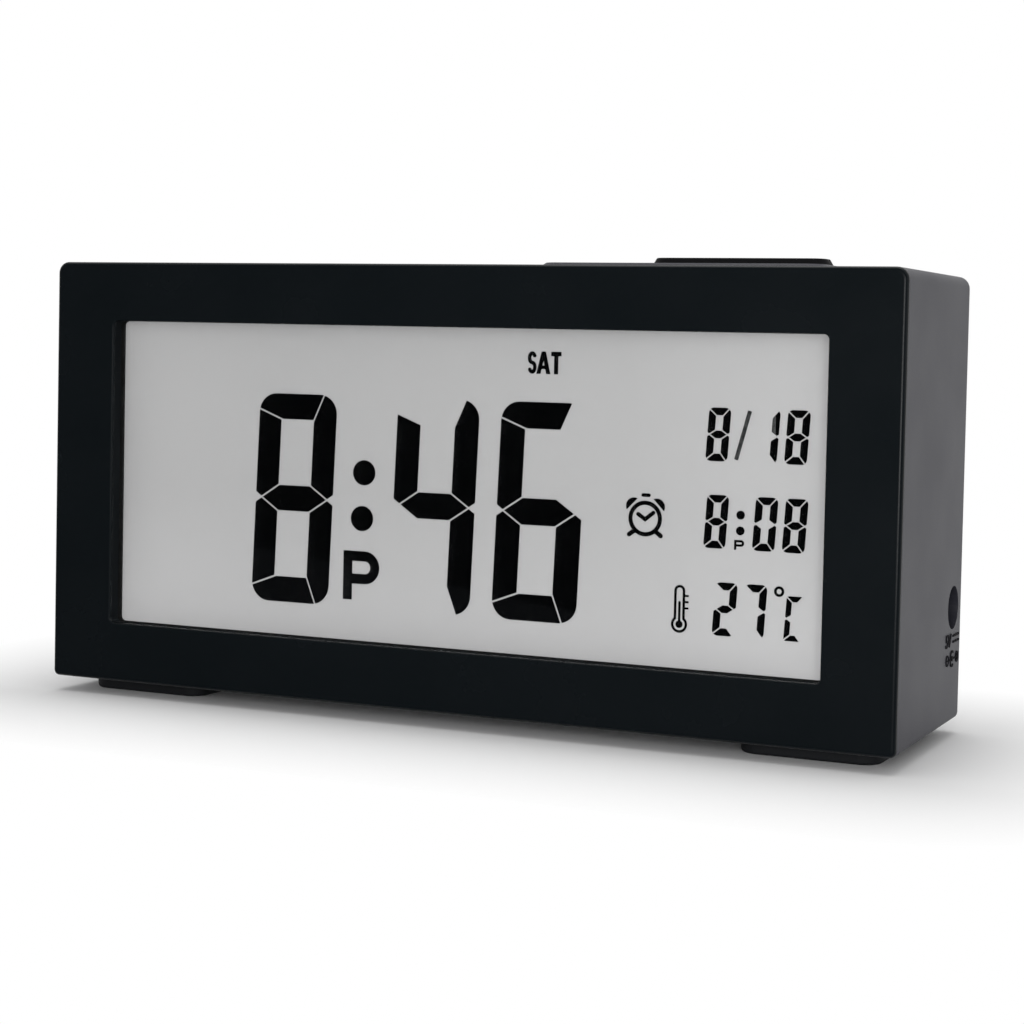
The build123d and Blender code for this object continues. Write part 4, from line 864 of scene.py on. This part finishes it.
# Battery lid: a moulded plate with the housing's finish, held by two tabs and a springy tongue.
# A raised arrow under the thumb ridges shows how it opens.
dress(case_finish, "battery_door")
lid_low, lid_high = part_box("battery_door")
lid_x = (lid_low.x + lid_high.x) / 2
arrow_half, arrow_height, arrow_drop = 0.0028, 0.0024, 0.0142
arrow_thickness, arrow_proud = 0.0004, 0.0002
arrow = [(-arrow_half, 0.0), (0.0, -arrow_height), (arrow_half, 0.0)]
arrow_y = lid_high.y + arrow_proud - arrow_thickness / 2
on_lid = Matrix.Translation((lid_x, arrow_y, lid_high.z - arrow_drop)) @ facing_back
join("lid_arrow", [plate([arrow], arrow_thickness)], on_lid, mark_finish, "lid")


# Sounder: a thin stamped brass disc with a silvered ceramic on it.
# It is glued to its ring in the housing, behind the sound holes.
brass_bright, brass_dull = (0.78, 0.58, 0.26), (0.66, 0.47, 0.19)
brass = drawn_metal(
    "brass", brass_bright, brass_dull, roughness=0.28, grain_length=0.002, grain_width=0.0004
)
dress(brass, "sounder_disc")
ceramic_pale, ceramic_dull = (0.72, 0.72, 0.7), (0.65, 0.65, 0.63)
ceramic_finish = moulded(
    "ceramic", ceramic_pale, ceramic_dull, roughness=0.4, spread=0.06,
    grain_size=0.0006, grain_depth=0.000006,
)
dress(ceramic_finish, "sounder_ceramic")


# Snooze key: a low moulded plate in the top, with a raised soft pad on its right part.
# It slides straight down onto the snooze switch.
snooze_grey, snooze_handled = (0.024, 0.024, 0.034), (0.027, 0.027, 0.038)
snooze_finish = moulded(
    "snooze_plastic", snooze_grey, snooze_handled, roughness=0.42, spread=0.04,
    grain_size=case_grain, grain_depth=case_grain_depth, specular=0.2,
)
dress(snooze_finish, "snooze_key")
pad_black, pad_handled = (0.002, 0.002, 0.0028), (0.003, 0.003, 0.004)
pad_finish = moulded(
    "pad_rubber", pad_black, pad_handled, roughness=0.6, spread=0.06,
    grain_size=0.0003, grain_depth=0.00001, specular=0.08,
)
dress(pad_finish, "snooze_pad")


# Feet and case screws: two soft rubber pads that are glued into shallow seats under the ends,
# and four zinc plated steel screws deep in their wells, which hold the housing to the bezel.
foot_black, foot_worn = (0.005, 0.006, 0.0078), (0.007, 0.008, 0.0098)
foot_finish = moulded(
    "foot_rubber", foot_black, foot_worn, roughness=0.7, spread=0.08,
    grain_size=0.00035, grain_depth=0.00002, specular=0.25,
)
dress(foot_finish, "foot_left", "foot_right")
dress(screw_steel, "case_screws")


# Floor and surroundings: a pale floor that runs out into white, a white room and a dark front.
# Cards that only reflections see keep the glossy front as dark as a dark studio would.
def stage_sheet(name, corners):
    """A flat sheet of four corners that isn't part of the clock."""
    mesh = bpy.data.meshes.new(name)
    mesh.from_pydata(corners, [], [(0, 1, 2, 3)])
    sheet = bpy.data.objects.new(name, mesh)
    bpy.context.scene.collection.objects.link(sheet)
    return sheet


def seen_ray(tree):
    """One for rays that show the surroundings: from the camera, in reflections and through glass."""
    path = tree.nodes.new("ShaderNodeLightPath")
    bounced = math_node(tree, "MAXIMUM", path.outputs["Is Glossy Ray"], path.outputs["Is Transmission Ray"])
    return math_node(tree, "MAXIMUM", path.outputs["Is Camera Ray"], bounced)


floor_half, floor_pale, floor_tone_share = 4.0, (0.91, 0.91, 0.91), 0.985
fade_start, fade_end = 0.0, 0.04
floor_corners = [(-floor_half, -floor_half, 0), (floor_half, -floor_half, 0),
                 (floor_half, floor_half, 0), (-floor_half, floor_half, 0)]
floor = stage_sheet("floor", floor_corners)
floor_finish, tree, shader = new_finish("floor_pale", roughness=0.8, specular=0.2)
grain = grain_of(tree, grain_size=0.002, smudge_size=0.2)
floor_tone = tuple(c * floor_tone_share for c in floor_pale)
mix_colours(tree, grain.outputs["Smudge"], floor_pale, floor_tone, shader.inputs["Base Color"])
past = tree.nodes.new("ShaderNodeTexCoord").outputs["Object"]
half_print = ((cad_box[1].x - cad_box[0].x) / 2, (cad_box[1].y - cad_box[0].y) / 2, 0.0)
for operation, value in (
    ("ABSOLUTE", None),
    ("SUBTRACT", half_print),
    ("MAXIMUM", (0.0, 0.0, 0.0)),
    ("LENGTH", None),
):
    step = tree.nodes.new("ShaderNodeVectorMath")
    step.operation = operation
    link(tree, past, step.inputs[0])
    if value:
        step.inputs[1].default_value = value
    past = step.outputs["Value"] if operation == "LENGTH" else step.outputs["Vector"]
far = map_range(tree, past, fade_start, fade_end, 0.0, 1.0)
white = tree.nodes.new("ShaderNodeEmission")
white.inputs["Strength"].default_value = 1.0
white_where = math_node(tree, "MULTIPLY", far, seen_ray(tree))
mix_surfaces(tree, white_where, shader.outputs["BSDF"], white.outputs["Emission"], "Material Output")
floor.data.materials.append(floor_finish)

room_light, room_seen = 0.45, 1.0
world = bpy.data.worlds.new("room")
bpy.context.scene.world = world
world.use_nodes = True
tree = world.node_tree
room = tree.nodes["Background"]
backdrop = tree.nodes.new("ShaderNodeBackground")
for background, strength in ((room, room_light), (backdrop, room_seen)):
    background.inputs["Color"].default_value = (1.0, 1.0, 1.0, 1.0)
    background.inputs["Strength"].default_value = strength
mix_surfaces(
    tree, seen_ray(tree), room.outputs["Background"], backdrop.outputs["Background"], "World Output"
)


def dark_card(name, corners, shade):
    """A dark card that only reflections see."""
    card = stage_sheet(name, corners)
    card.visible_camera = False
    card.visible_diffuse = False
    card.visible_shadow = False
    material, tree, _ = new_finish(name, roughness=1.0)
    glow = tree.nodes.new("ShaderNodeEmission")
    glow.inputs["Color"].default_value = (*shade, 1.0)
    link(tree, glow.outputs["Emission"], tree.nodes["Material Output"].inputs["Surface"])
    card.data.materials.append(material)


card_near, card_far, card_half, card_top, card_lift = -0.0205, -0.7, 1.6, 1.6, 0.001
low_shade, front_shade = (0.02, 0.022, 0.025), (0.005, 0.006, 0.007)
low_corners = [(-card_half, card_far, card_lift), (card_half, card_far, card_lift),
               (card_half, card_near, card_lift), (-card_half, card_near, card_lift)]
dark_card("low_card", low_corners, low_shade)
slant_start, slant_end = (-0.9, -0.677), (0.06, -0.088)
for name, start, end in (
    ("front_card", (-card_half, card_far), (card_half, card_far)),
    ("slant_card", slant_start, slant_end),
):
    upright_corners = [(*start, 0), (*end, 0), (*end, card_top), (*start, card_top)]
    dark_card(name, upright_corners, front_shade)


# Lamps: square soft boxes that the camera doesn't see.
# One stands above, one far out in front, and a small one low at the right of the front.
def soft_box(name, place, size, power):
    """A square lamp that looks at the middle of the clock."""
    lamp = bpy.data.lights.new(name, "AREA")
    lamp.shape = "SQUARE"
    lamp.size = size
    lamp.energy = power
    holder = bpy.data.objects.new(name, lamp)
    holder.location = place
    holder.rotation_euler = (Vector((0.0, 0.0, mid_z)) - Vector(place)).to_track_quat("-Z", "Y").to_euler()
    holder.visible_camera = False
    bpy.context.scene.collection.objects.link(holder)


soft_box("top_box", place=(-0.1, 0.1, 1.2), size=1.0, power=5.5)
soft_box("front_box", place=(0.25, -0.9, 0.25), size=0.4, power=1.8)
soft_box("right_box", place=(0.13, -0.25, 0.05), size=0.1, power=0.25)


# Camera: a long lens at the right, a little above the middle of the clock.
# It looks slightly down and is rolled by about a degree.
camera_place = (0.14139, -0.29732, 0.05767)
camera_turn, camera_tip, camera_roll = math.radians(23.34), math.radians(2.251), math.radians(1.268)
camera_lens, camera_sensor, camera_near = 73.62, 36.0, 0.01
camera_shift = (-0.0628, -0.0817)
level_ahead = Vector((-math.sin(camera_turn), math.cos(camera_turn), 0.0))
level_right = Vector((math.cos(camera_turn), math.sin(camera_turn), 0.0))
upward = Vector((0.0, 0.0, 1.0))
ahead = level_ahead * math.cos(camera_tip) - upward * math.sin(camera_tip)
tipped_up = upward * math.cos(camera_tip) + level_ahead * math.sin(camera_tip)
right = level_right * math.cos(camera_roll) + tipped_up * math.sin(camera_roll)
over = tipped_up * math.cos(camera_roll) - level_right * math.sin(camera_roll)
camera = bpy.data.objects.new("camera", bpy.data.cameras.new("camera"))
camera.data.lens = camera_lens
camera.data.sensor_width = camera_sensor
camera.data.shift_x, camera.data.shift_y = camera_shift
camera.data.clip_start = camera_near
camera.matrix_world = Matrix.Translation(camera_place) @ Matrix((right, over, -ahead)).transposed().to_4x4()
bpy.context.scene.collection.objects.link(camera)
bpy.context.scene.camera = camera
bpy.context.scene.view_settings.view_transform = "Standard"
